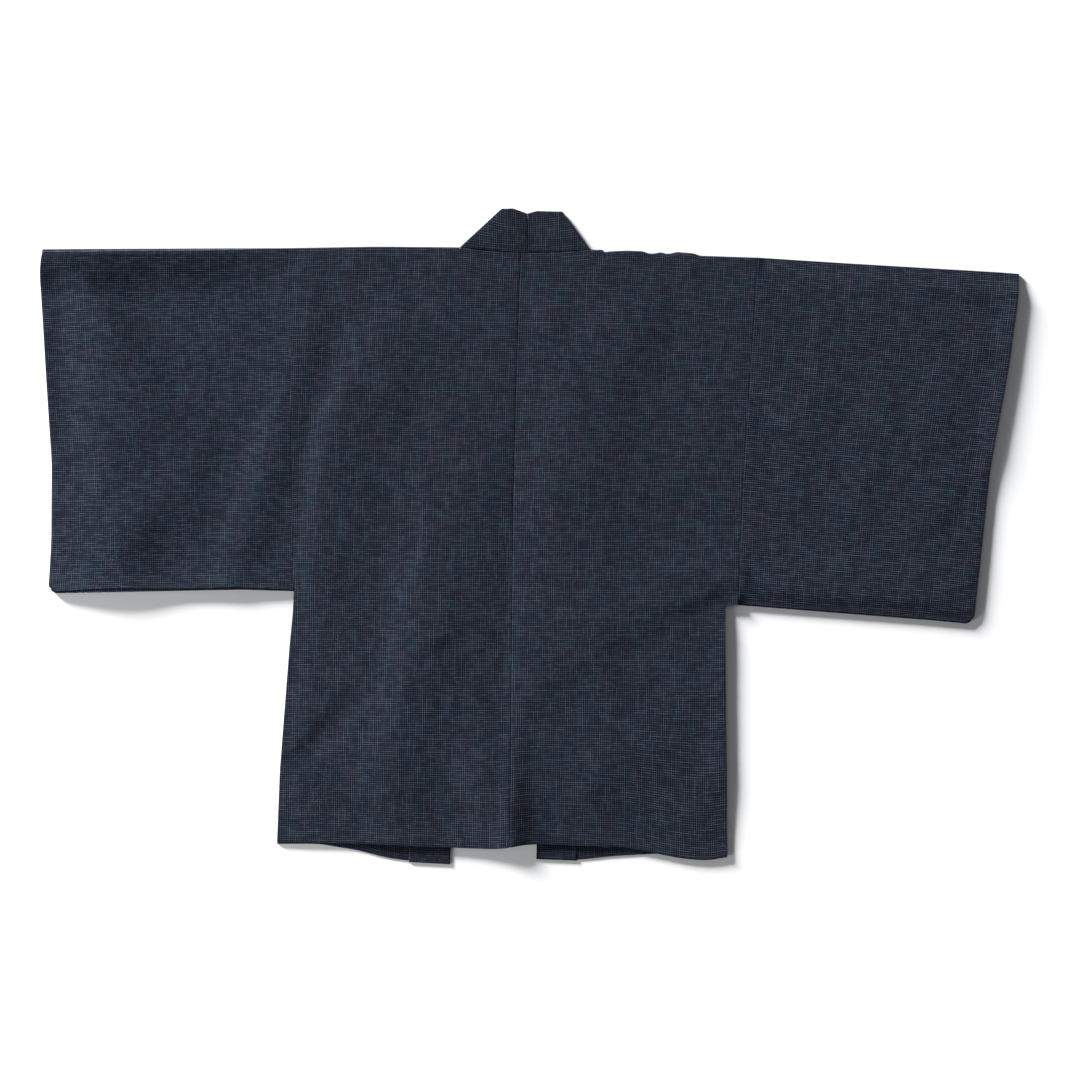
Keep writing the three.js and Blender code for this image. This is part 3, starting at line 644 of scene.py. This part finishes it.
@dataclass
class Sleeve:
    """One width of cloth folded along the top and sewn along the bottom and the lower outer edge."""

    side: Side
    body: BodyPanel
    step: float = 3.3
    hidden_step: float = 11.0
    opening: float = 280.0
    corner: float = 13.0
    edge_fade: float = 11.0
    bottom_fade: dict[Side, tuple[float, float]] = field(default_factory=lambda: {
        Side.LEFT: (1.0, 8.0), Side.RIGHT: (0.45, 26.0)})
    top_fade: dict[Side, float] = field(default_factory=lambda: {Side.LEFT: 1.0, Side.RIGHT: 0.35})
    cuff_lift: float = 1.4
    cuff_share: float = 0.85
    lift_reach: float = 30.0
    join_reach: float = 14.0
    top_reach: float = 12.0
    bottom_reach: float = 8.0
    slit_ease: tuple[float, float] = (45.0, 35.0)
    cuff: dict[Side, tuple[tuple[float, float], ...]] = field(default_factory=lambda: {
        Side.LEFT: ((-662, -1), (-666, 33), (-657, 182), (-650, 290), (-651, 400), (-655, 467)),
        Side.RIGHT: ((666, 32), (665, 63), (652, 160), (627, 295), (616, 400), (604, 509)),
    })
    bottom: dict[Side, tuple[tuple[float, float], ...]] = field(default_factory=lambda: {
        Side.LEFT: ((-321, 464), (-394, 462), (-500, 464), (-655, 467)),
        Side.RIGHT: ((284, 483), (449, 496), (540, 503), (604, 509)),
    })

    @property
    def name(self) -> str:
        """Name of the sleeve's node."""
        return f"sleeve_{self.side.value}"

    @staticmethod
    def edge(points: tuple[tuple[float, float], ...], share: Array) -> tuple[Array, Array]:
        """Place along an edge by its share of the edge's length, with its corners eased."""
        rows = np.array(points, float)
        lengths = np.concatenate([[0.0], np.cumsum(np.hypot(*np.diff(rows, axis=0).T))])
        shares = tuple(lengths / lengths[-1])
        tracks = [Track(shares, tuple(rows[:, axis]), blur=0.03) for axis in (0, 1)]
        raw = [np.interp(share, shares, rows[:, axis]) for axis in (0, 1)]
        inside = ease(0.0, 0.06, share) * ease(0.0, 0.06, 1.0 - share)
        return mix(raw[0], tracks[0](share), inside), mix(raw[1], tracks[1](share), inside)

    def spread(self, out: Array, along: Array) -> tuple[Array, Array]:
        """Blends the four edges: out runs from seam to cuff, along from the top fold to the bottom."""
        cut, sign = self.body.cut, self.side.sign
        armpit = cut.armpit[self.side]

        def seam_at(share: Array) -> tuple[Array, Array]:
            """Place on the sleeve seam, from the shoulder to the underarm."""
            x = cut.sides[self.side](share * armpit)
            return x + sign * cut.seam_gap, cut.panel_down(x, share * armpit, cut.back_hem(x))

        cuff, bottom = self.cuff[self.side], self.bottom[self.side]
        zero, one = np.zeros(1), np.ones(1)
        top_start, start = seam_at(zero), seam_at(one)

        def bottom_at(share: Array) -> tuple[Array, Array]:
            """Place on the bottom edge, started where the sleeve seam ends."""
            x, down = self.edge(bottom, share)
            settle = np.maximum(0.0, 1.0 - 4.0 * share)
            return x + (start[0] - bottom[0][0]) * settle, down + (start[1] - bottom[0][1]) * settle

        top_x = mix(top_start[0], cuff[0][0], out)
        top = (top_x, cut.shoulder(top_x))
        low = bottom_at(out)
        inner_edge, outer_edge = seam_at(along), self.edge(cuff, along)
        ends = [(top_start[0], cut.shoulder(top_start[0])), cuff[0], bottom_at(zero), bottom_at(one)]
        axes = []
        for axis in (0, 1):
            rails = mix(top[axis], low[axis], along)
            sides = mix(inner_edge[axis], outer_edge[axis], out)
            upper = mix(ends[0][axis], ends[1][axis], out)
            lower = mix(ends[2][axis], ends[3][axis], out)
            axes.append(rails + sides - mix(upper, lower, along))
        return axes[0], axes[1]

    def rounded(self, x: Array, down: Array, inward: Array, downward: Array) -> tuple[Array, Array]:
        """Pulls the lower outer corner onto a quarter circle."""
        a = np.clip(1.0 - inward / self.corner, 0.0, 1.0)
        b = np.clip(1.0 - downward / self.corner, 0.0, 1.0)
        pull_x = (a - a * np.sqrt(1.0 - b * b / 2.0)) * self.corner
        pull_down = (b - b * np.sqrt(1.0 - a * a / 2.0)) * self.corner
        return x - self.side.sign * pull_x, down - pull_down

    def build(self) -> Shell:
        """Lays the sleeve as a flat tube: back layer, top fold, front layer and sewn bottom."""
        cut, sign = self.body.cut, self.side.sign
        length, width = (float(np.hypot(*np.diff(np.array(edge[self.side], float), axis=0).T).sum())
                         for edge in (self.cuff, self.bottom))
        out = (graded(0.0, width, self.step) / width)[None, :]
        back = (graded(0.0, length, self.step) / length)[::-1, None]
        front = (graded(0.0, length, self.hidden_step, fine=(0.5, 1.5, 4.0)) / length)[:, None]

        def layer(along: Array) -> tuple[Array, Array]:
            """Places of one layer, with its lower outer corner rounded."""
            x, down = self.spread(out, along)
            return self.rounded(x, down, (1.0 - out) * width, (1.0 - along) * length)

        x, down = layer(back)
        to_top, to_bottom, to_cuff = back * length, (1.0 - back) * length, (1.0 - out) * width
        closed = ease(self.opening - self.slit_ease[0], self.opening + self.slit_ease[1], to_top)
        at_cuff = mix(1.0, ease(0.0, self.edge_fade, to_cuff), closed)
        lowest, reach = self.bottom_fade[self.side]
        at_bottom = mix(lowest, 1.0, ease(0.0, reach, to_bottom))
        at_top = mix(self.top_fade[self.side], 1.0, ease(0.0, self.lift_reach, to_top))
        kept = at_bottom * mix(self.cuff_share, 1.0, at_cuff) * at_top
        joins = fade(self.join_reach, out * width) * ease(0.0, self.bottom_reach, to_bottom)
        rise = self.body.drape.rise(x, down)
        lift = self.cuff_lift * (1.0 - closed) * fade(self.lift_reach, to_cuff)
        lift = lift * ease(0.0, self.lift_reach, to_top)
        under = cut.wall + cut.gap + rise * np.maximum(kept, joins) + lift
        soft = np.minimum(quarter_round(out * width, self.body.seam_round),
                          mix(quarter_round(to_cuff, 1.0), quarter_round(to_cuff, 2.6), closed))
        top = under + cut.wall - self.body.side_sink * (1.0 - soft)
        radius = top[[0, -1]] / 2.0
        down = down + self.shift(radius, to_top, to_bottom)
        grain = grain_at(sign * out * width, back * length)
        back_parts = (cut.place(x, down, top), cut.place(x, down, under), grain)

        front_x, front_down = layer(front)
        front_down = front_down + self.shift(radius, front * length, (1.0 - front) * length)
        level = np.zeros(front_x.shape)
        front_parts = (cut.place(front_x, front_down, level),
                       cut.place(front_x, front_down, level + cut.wall),
                       grain_at(sign * out * width, -front * length))

        top_turn = self.turn(x[-1], down[-1], radius[1], upward=True, start=0.0)
        low_turn = self.turn(x[0], down[0], radius[0], upward=False, start=length)
        parts = [np.concatenate(group) for group in zip(back_parts, top_turn, front_parts, low_turn)]
        return Shell(*parts, tube=True)

    def shift(self, radius: Array, to_top: Array, to_bottom: Array) -> Array:
        """Room that a layer leaves for the turns at its top and its bottom."""
        at_top = radius[1][None, :] * fade(self.top_reach, to_top)
        return at_top - radius[0][None, :] * fade(self.bottom_reach, to_bottom)

    def turn(self, x: Array, down: Array, radius: Array, upward: bool,
             start: float) -> tuple[Array, Array, Array]:
        """Half round where the cloth turns over, at the top fold or at the sewn bottom.

        Args:
            x: Places across of the row that the turn starts from.
            down: Distances down of that row.
            radius: Outer radius of the turn at each place.
            upward: Whether the turn bulges towards the shoulder, and runs from the back to the front.
            start: Distance along the cloth where the turn starts.

        Returns:
            Outer points, inner points and grain, by row.
        """
        cut = self.body.cut
        angles = np.radians(np.array((70.0, 45.0, 20.0, 0.0, -20.0, -45.0, -70.0)))
        turn = (angles if upward else angles[::-1])[:, None]
        bulge = -1.0 if upward else 1.0
        small = radius - cut.wall
        outer = cut.place(x[None, :], down + bulge * radius * np.cos(turn), radius * (1.0 + np.sin(turn)))
        inner = cut.place(x[None, :], down + bulge * small * np.cos(turn), radius + small * np.sin(turn))
        along = start - bulge * radius * (turn - np.pi / 2) * 0.5
        return outer, inner, grain_at(x[None, :] - x[0], along)


@dataclass
class CollarHalf:
    """Half of the collar: it stands behind the neck, turns under and runs down the front edge as a band."""

    side: Side
    cut: Cut
    seam_x: float
    free_x: float
    free_down: float
    end_outer: float
    end_inner: float
    notch_depth: float
    notch_reach: float
    centre_sink: float
    centre_x: float = -3.0
    pinch_x: float = 12.0
    pinch_reach: tuple[float, float] = (22.0, 36.0)
    pinch_depth: float = 1.7
    crown: float = 0.8
    corner: float = 5.0
    band_run: float = 880.0
    turn_run: float = 3.0
    fold_angles: tuple[float, ...] = (72, 50, 28, 8, -12, -32, -52, -74)

    @property
    def name(self) -> str:
        """Name of the collar half's node."""
        return f"collar_{self.side.value}"

    def build(self) -> Shell:
        """Lays the stand behind the neck, the turn, and the band down to the hem."""
        cut, sign, wall = self.cut, self.side.sign, self.cut.band_wall
        radius = wall + cut.gap / 2.0
        centre = self.centre_x + sign * cut.seam_gap / 2.0
        seam_turn = np.array([self.seam_x, float(self.seam_down(np.array([self.seam_x]))[0])])
        free_turn = np.array([self.free_x, self.free_down])
        crease = (free_turn - seam_turn) / np.linalg.norm(free_turn - seam_turn)
        outward = np.array([sign * abs(crease[1]), -abs(crease[0])])
        depth = float(np.linalg.norm(free_turn - seam_turn))
        share = (graded(0.0, depth, 2.6) / depth)[None, :]
        turn_x = mix(seam_turn[0], free_turn[0], share) - outward[0] * radius
        turn_down = mix(seam_turn[1], free_turn[1], share) - outward[1] * radius
        soft = np.minimum(quarter_round(share * depth, 1.6), quarter_round((1.0 - share) * depth, 1.2))

        reach = abs(self.seam_x - centre)
        along = (graded(0.0, reach, 2.4, fine=(0.3, 0.9, 1.8)) / reach)[:, None]
        x = mix(centre, turn_x, along)
        near = np.clip(1.0 - np.abs(x - self.centre_x) / self.notch_reach, 0.0, 1.0)
        free = self.free_down + radius * along * -outward[1] + self.notch_depth * near
        down = mix(mix(self.seam_down(x), free, share), turn_down, along ** 4)
        pinch_reach = np.where(x < self.pinch_x, *self.pinch_reach)
        pinch = self.pinch_depth * np.exp(-(np.abs(x - self.pinch_x) / pinch_reach) ** 1.6)
        pinch = pinch * mix(0.6, 1.0, share)
        middle = self.centre_sink * (1.0 - quarter_round(np.abs(x - centre), 2.0))
        swell = self.crown * np.sin(np.pi * share) * (1.0 - along ** 3)
        top = 2.0 * radius + swell - pinch - middle - 0.8 * (1.0 - soft)
        lining = np.minimum(2.0 * radius - wall - 0.5 * pinch, top - 0.5)
        stand = (cut.place(x, down, top), cut.place(x, down, lining))

        angle = np.radians(np.array(self.fold_angles))[:, None]
        small = radius - wall * soft
        full = radius - 0.4 * (1.0 - soft)
        bulge = quarter_round((1.0 - share) * depth, self.corner) * np.cos(angle)
        turn_outer = cut.place(turn_x + outward[0] * full * bulge, turn_down + outward[1] * full * bulge,
                               radius + full * np.sin(angle))
        turn_inner = cut.place(turn_x + outward[0] * small * bulge, turn_down + outward[1] * small * bulge,
                               radius + small * np.sin(angle))

        run = (graded(0.0, self.band_run, 9.0, fine=(0.4, 1.2, 3.0)) / self.band_run)[:, None]
        end = mix(self.end_outer, self.end_inner, share)
        band_down = mix(turn_down, end, run)
        band_x = mix(cut.band_outer[self.side](band_down), cut.band_inner[self.side](band_down), share)
        above = np.clip(band_down / turn_down, 0.0, 1.0) * (band_down < 0)
        band_x = mix(band_x, turn_x, above)
        end_round = quarter_round((1.0 - run) * self.band_run, 1.0)
        thick = wall * mix(0.35, 1.0, np.minimum(soft, end_round))
        band = (cut.place(band_x, band_down, np.zeros(thick.shape)), cut.place(band_x, band_down, thick))

        outer = np.concatenate([stand[0], turn_outer, band[0]])
        inner = np.concatenate([stand[1], turn_inner, band[1]])
        rows = np.concatenate([reach + self.turn_run * np.arange(len(angle)) / len(angle),
                               reach + self.turn_run + run[:, 0] * self.band_run])
        straight = grain_at(self.seam_down(x[:, :1]) - down, np.abs(x - centre))
        grain = grain_at(share * depth, rows[:, None])
        return Shell(outer, inner, np.concatenate([straight, grain]))

    def seam_down(self, x: Array) -> Array:
        """Seam edge of the stand, along the back neckline."""
        return self.cut.shoulder(x) + self.cut.neckline(x) - self.cut.seam_gap


# -------------------------------------------------------------------------------- finishes

class NodeBuilder:
    """Short calls for making shader nodes in one tree."""

    def __init__(self, tree: bpy.types.NodeTree) -> None:
        """Keeps the tree that the nodes go in."""
        self.tree = tree

    def node(self, kind: str, **settings: object) -> bpy.types.Node:
        """Adds a node and sets its properties."""
        made = self.tree.nodes.new(kind)
        for key, value in settings.items():
            setattr(made, key, value)
        return made

    def feed(self, socket: bpy.types.NodeSocket, value: object) -> None:
        """Links an output to a socket, or sets the socket's value."""
        if isinstance(value, bpy.types.NodeSocket):
            self.tree.links.new(value, socket)
        else:
            socket.default_value = value

    def math(self, operation: str, *values: object) -> bpy.types.NodeSocket:
        """Result of a Math node."""
        made = self.node("ShaderNodeMath", operation=operation)
        for socket, value in zip(made.inputs, values):
            self.feed(socket, value)
        return made.outputs[0]

    def soft_step(self, value: object, low: object, high: object) -> bpy.types.NodeSocket:
        """Soft step from 0 at low to 1 at high."""
        made = self.node("ShaderNodeMapRange", interpolation_type="SMOOTHSTEP")
        for socket, given in zip(made.inputs, (value, low, high, 0.0, 1.0)):
            self.feed(socket, given)
        return made.outputs[0]

    def noise(self, x: object, y: object, z: object, detail: float = 1.0) -> bpy.types.NodeSocket:
        """Noise with one feature per unit of its coordinates."""
        place = self.node("ShaderNodeCombineXYZ")
        for socket, value in zip(place.inputs, (x, y, z)):
            self.feed(socket, value)
        made = self.node("ShaderNodeTexNoise")
        self.feed(made.inputs["Vector"], place.outputs[0])
        self.feed(made.inputs["Scale"], 1.0)
        self.feed(made.inputs["Detail"], detail)
        return made.outputs["Fac"]

    def blend(self, share: object, first: object, second: object, how: str = "MIX") -> bpy.types.NodeSocket:
        """Colour blended from two colours."""
        made = self.node("ShaderNodeMix", data_type="RGBA", blend_type=how)
        self.feed(made.inputs[0], share)
        self.feed(made.inputs[6], first)
        self.feed(made.inputs[7], second)
        return made.outputs[2]


def slub_weave() -> bpy.types.ShaderNodeTree:
    """Node group of a dark cloth crossed by fine pale yarns that come and go.

    Returns:
        A group that takes the cloth's grain and the yarn spacings, and puts out the masks of the pale
        yarns, slow tints and the height of the threads.
    """
    group = bpy.data.node_groups.new("slub weave", "ShaderNodeTree")
    face = group.interface
    face.new_socket("Grain", in_out="INPUT", socket_type="NodeSocketVector")
    for name, value in (("Weft spacing", 0.0029), ("Warp spacing", 0.0029), ("Yarn share", 0.42),
                        ("Piece", 0.0), ("Warp strength", 1.0)):
        face.new_socket(name, in_out="INPUT", socket_type="NodeSocketFloat").default_value = value
    for name in ("Weft", "Warp", "Cool tint", "Warm tint", "Fade", "Height"):
        face.new_socket(name, in_out="OUTPUT", socket_type="NodeSocketFloat")
    make = NodeBuilder(group)
    given = make.node("NodeGroupInput").outputs
    result = make.node("NodeGroupOutput").inputs
    split = make.node("ShaderNodeSeparateXYZ")
    make.feed(split.inputs[0], given["Grain"])
    across, along = split.outputs[0], split.outputs[1]
    piece = make.math("MULTIPLY", given["Piece"], 37.7)

    def yarns(position: object, run: object, spacing: object, length: float, seed: float) -> tuple:
        """Line mask, odd and even rows and dash noise of one set of yarns."""
        wander = make.noise(make.math("MULTIPLY", run, 22.0), make.math("MULTIPLY", position, 60.0), piece)
        shift = make.math("MULTIPLY", make.math("SUBTRACT", wander, 0.5), 0.0007)
        turns = make.math("DIVIDE", make.math("ADD", position, shift), spacing)
        row = make.math("FLOOR", turns)
        offset = make.math("ABSOLUTE", make.math("SUBTRACT", make.math("FRACT", turns), 0.5))
        half = make.math("MULTIPLY", given["Yarn share"], 0.5)
        line = make.math("SUBTRACT", 1.0, make.soft_step(offset, make.math("MULTIPLY", half, 0.4), half))
        place = make.math("DIVIDE", run, length)
        dash = make.noise(place, make.math("MULTIPLY", row, 7.31), make.math("ADD", piece, seed), 1.5)
        return line, row, dash

    weft_line, weft_row, weft_dash = yarns(along, across, given["Weft spacing"], 0.016, 3.1)
    warp_line, _, warp_dash = yarns(across, along, given["Warp spacing"], 0.024, 9.7)
    even = make.math("SUBTRACT", 1.0, make.math("FLOORED_MODULO", weft_row, 2.0))
    every_other = make.math("MULTIPLY_ADD", even, 0.6, 0.2)
    strong = make.math("MULTIPLY", make.soft_step(weft_dash, 0.44, 0.68), every_other)
    steady = make.math("MULTIPLY_ADD", make.soft_step(weft_dash, 0.3, 0.6), 0.27, 0.34)
    weft = make.math("MULTIPLY", weft_line, make.math("ADD", strong, steady))
    bright_warp = make.math("MULTIPLY_ADD", make.soft_step(warp_dash, 0.46, 0.7), 0.46, 0.38)
    warp = make.math("MULTIPLY", make.math("MULTIPLY", warp_line, bright_warp), given["Warp strength"])
    slow_x, slow_y = make.math("MULTIPLY", across, 58.0), make.math("MULTIPLY", along, 44.0)
    make.feed(result["Weft"], weft)
    make.feed(result["Warp"], warp)
    cool = make.noise(slow_x, slow_y, make.math("ADD", piece, 21.0), 2.0)
    warm = make.noise(slow_x, slow_y, make.math("ADD", piece, 55.0), 2.0)
    worn = make.noise(make.math("MULTIPLY", across, 75.0), make.math("MULTIPLY", along, 60.0), piece, 3.0)
    make.feed(result["Cool tint"], make.soft_step(cool, 0.46, 0.72))
    make.feed(result["Warm tint"], make.soft_step(warm, 0.46, 0.74))
    make.feed(result["Fade"], worn)
    fine_across = make.math("SINE", make.math("MULTIPLY", across, 2 * math.pi / 0.00062))
    fine_along = make.math("SINE", make.math("MULTIPLY", along, 2 * math.pi / 0.00058))
    threads = make.math("MULTIPLY", make.math("ADD", fine_across, fine_along), 0.18)
    slubs = make.math("ADD", make.math("MULTIPLY", weft, 0.5), make.math("MULTIPLY", warp, 0.35))
    make.feed(result["Height"], make.math("ADD", threads, slubs))
    return group


@dataclass(frozen=True)
class ClothFinish:
    """Dark indigo cloth with pale crossing yarns."""

    name: str
    slot: str
    ground: Colour = (0.0027, 0.004, 0.0077, 1.0)
    yarn: Colour = (0.0462, 0.0556, 0.0792, 1.0)
    cool: Colour = (0.86, 1.07, 1.1, 1.0)
    warm: Colour = (1.12, 0.95, 0.98, 1.0)
    roughness: float = 0.86
    sheen: float = 0.01
    sheen_roughness: float = 0.45
    bump: float = 0.0004
    piece: float = 0.0
    warp: float = 1.0

    def make(self, weave: bpy.types.ShaderNodeTree) -> bpy.types.Material:
        """Makes the material around the shared weave.

        Args:
            weave: The node group that gives the yarns.

        Returns:
            The material.
        """
        material = bpy.data.materials.new(self.name)
        material.use_nodes = True
        make = NodeBuilder(material.node_tree)
        shader = material.node_tree.nodes["Principled BSDF"]
        grain = make.node("ShaderNodeAttribute", attribute_name="grain")
        cloth = make.node("ShaderNodeGroup")
        cloth.node_tree = weave
        make.feed(cloth.inputs["Grain"], grain.outputs["Vector"])
        make.feed(cloth.inputs["Piece"], self.piece)
        make.feed(cloth.inputs["Warp strength"], self.warp)
        yarns = make.math("MAXIMUM", cloth.outputs["Weft"], cloth.outputs["Warp"])
        crossed = make.math("ADD", yarns, make.math("MULTIPLY", cloth.outputs["Warp"], 0.25))
        worn = make.math("MULTIPLY", crossed, make.math("MULTIPLY_ADD", cloth.outputs["Fade"], 1.1, 0.4))
        colour = make.blend(worn, self.ground, self.yarn)
        colour = make.blend(cloth.outputs["Cool tint"], colour, self.cool, "MULTIPLY")
        colour = make.blend(cloth.outputs["Warm tint"], colour, self.warm, "MULTIPLY")
        make.feed(shader.inputs["Base Color"], colour)
        rough = make.math("MULTIPLY_ADD", cloth.outputs["Fade"], 0.1, self.roughness - 0.05)
        make.feed(shader.inputs["Roughness"], rough)
        shader.inputs["Specular IOR Level"].default_value = 0.03
        shader.inputs["Sheen Weight"].default_value = self.sheen
        shader.inputs["Sheen Roughness"].default_value = self.sheen_roughness
        shader.inputs["Sheen Tint"].default_value = (0.6, 0.7, 0.85, 1.0)
        relief = make.node("ShaderNodeBump")
        make.feed(relief.inputs["Height"], cloth.outputs["Height"])
        make.feed(relief.inputs["Strength"], 0.5)
        make.feed(relief.inputs["Distance"], self.bump)
        make.feed(shader.inputs["Normal"], relief.outputs["Normal"])
        return material


# -------------------------------------------------------------------------------- studio

@dataclass(frozen=True)
class Studio:
    """Pale floor, soft lights and a camera that looks straight down."""

    view_width: float = 1.469
    lens: float = 85.0
    sensor: float = 36.0
    centre: tuple[float, float] = (0.0139, -0.0053)
    floor_size: float = 40.0
    floor_drop: float = 0.0002
    camera_room: float = 0.005
    floor_colour: Colour = (0.86, 0.86, 0.865, 1.0)

    def build_camera(self) -> None:
        """Hangs the camera over the middle of the view."""
        data = bpy.data.cameras.new("camera")
        data.lens = self.lens
        data.sensor_width = self.sensor
        camera = bpy.data.objects.new("camera", data)
        distance = self.view_width * self.lens / self.sensor + self.camera_room
        camera.location = (*self.centre, distance)
        bpy.context.scene.collection.objects.link(camera)
        bpy.context.scene.camera = camera

    def build_floor(self) -> None:
        """Lays the floor just under the garment."""
        half = self.floor_size / 2.0
        mesh = bpy.data.meshes.new("floor")
        corners = [(x * half, y * half, -self.floor_drop) for x, y in ((-1, -1), (1, -1), (1, 1), (-1, 1))]
        mesh.from_pydata(corners, [], [(0, 1, 2, 3)])
        material = bpy.data.materials.new("pale floor")
        material.use_nodes = True
        shader = material.node_tree.nodes["Principled BSDF"]
        shader.inputs["Base Color"].default_value = self.floor_colour
        shader.inputs["Roughness"].default_value = 0.9
        mesh.materials.append(material)
        floor = bpy.data.objects.new("floor", mesh)
        bpy.context.scene.collection.objects.link(floor)

    def add_light(self, name: str, place: tuple[float, float, float], size: float, power: float,
                  colour: tuple[float, float, float] = (1.0, 1.0, 1.0)) -> None:
        """Hangs a square soft light that faces the middle of the garment.

        Args:
            name: The light's name.
            place: Its position.
            size: Length of its sides.
            power: Its power in watts.
            colour: Its colour.
        """
        data = bpy.data.lights.new(name, "AREA")
        data.size = size
        data.energy = power
        data.color = colour
        light = bpy.data.objects.new(name, data)
        light.location = place
        away = np.array(place) / np.linalg.norm(place)
        light.rotation_euler = (math.acos(away[2]), 0.0, math.atan2(away[1], away[0]) + math.pi / 2)
        bpy.context.scene.collection.objects.link(light)

    def build_lights(self) -> None:
        """Hangs a low, far key light, a weaker one by the left hem, and an even sky."""
        self.add_light("key", (-17.2, 16.8, 4.1), 5.2, 38000.0)
        self.add_light("side", (-1.9, -1.3, 0.6), 0.8, 42.0)
        world = bpy.data.worlds.new("sky")
        world.use_nodes = True
        world.node_tree.nodes["Background"].inputs["Color"].default_value = (0.93, 0.96, 1.0, 1.0)
        world.node_tree.nodes["Background"].inputs["Strength"].default_value = 0.16
        bpy.context.scene.world = world
        bpy.context.scene.view_settings.view_transform = "Standard"


# -------------------------------------------------------------------------------- assembly

@dataclass
class Haori:
    """The whole garment, piece by piece."""

    cut: Cut = field(default_factory=Cut)
    collar_yarn: Colour = (0.041, 0.049, 0.069, 1.0)
    # Pale yarn of each sleeve. The left sleeve's is bluer and brighter than the right's: painted light,
    # standing in for the stronger light on the left side.
    sleeve_yarns_and_painted_light: dict[Side, Colour] = field(default_factory=lambda: {
        Side.LEFT: (0.052, 0.0652, 0.0955, 1.0), Side.RIGHT: (0.0538, 0.064, 0.0905, 1.0)})

    def pieces(self) -> list[tuple[object, ClothFinish, tuple[float, float]]]:
        """Every piece with its finish and the rectangle that it is cut from, in metres."""
        drape = Drape(self.cut)
        made: list[tuple[object, ClothFinish, tuple[float, float]]] = []
        collars = {
            Side.LEFT: CollarHalf(Side.LEFT, self.cut, -95.2, -37.0, -58.0, 833.0, 836.0, notch_depth=8.0,
                                  notch_reach=20.0, centre_sink=0.6),
            Side.RIGHT: CollarHalf(Side.RIGHT, self.cut, 82.0, 44.0, -54.0, 831.0, 829.0, notch_depth=4.0,
                                   notch_reach=13.0, centre_sink=0.0),
        }
        for number, side in enumerate(Side, start=1):
            label = side.value
            body = BodyPanel(side, self.cut, drape)
            sleeve_finish = ClothFinish(f"sleeve cloth {label}", "sleeve_cloth", piece=number + 2.0,
                                        warp=0.75, yarn=self.sleeve_yarns_and_painted_light[side])
            collar_finish = ClothFinish(f"collar cloth {label}", "collar_cloth", piece=number + 6.0,
                                        yarn=self.collar_yarn)
            strip_finish = ClothFinish(f"side strip cloth {label}", "gusset_cloth", piece=number + 4.0)
            body_finish = ClothFinish(f"body cloth {label}", "body_cloth", piece=float(number))
            made += [
                (body, body_finish, (0.32, 1.64)),
                (Sleeve(side, body), sleeve_finish, (0.39, 0.97)),
                (SideStrip(side, self.cut), strip_finish, (0.058, 0.345)),
                (collars[side], collar_finish, (0.066, 0.99)),
            ]
        return made

    def build(self) -> None:
        """Builds and dresses each piece, hangs it under the root body and hides its solid."""
        weave = slub_weave()
        for maker, finish, flat in self.pieces():
            shell = maker.build()
            piece = shell.build(f"{maker.name}_shell")
            piece.data.materials.append(finish.make(weave))
            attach(piece, "root")
            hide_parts(maker.name)


def main() -> None:
    """Builds the studio and the garment."""
    logging.basicConfig(level=logging.INFO, format="%(message)s")
    studio = Studio()
    studio.build_camera()
    Haori().build()
    studio.build_floor()
    studio.build_lights()


if __name__ == "__main__":
    main()
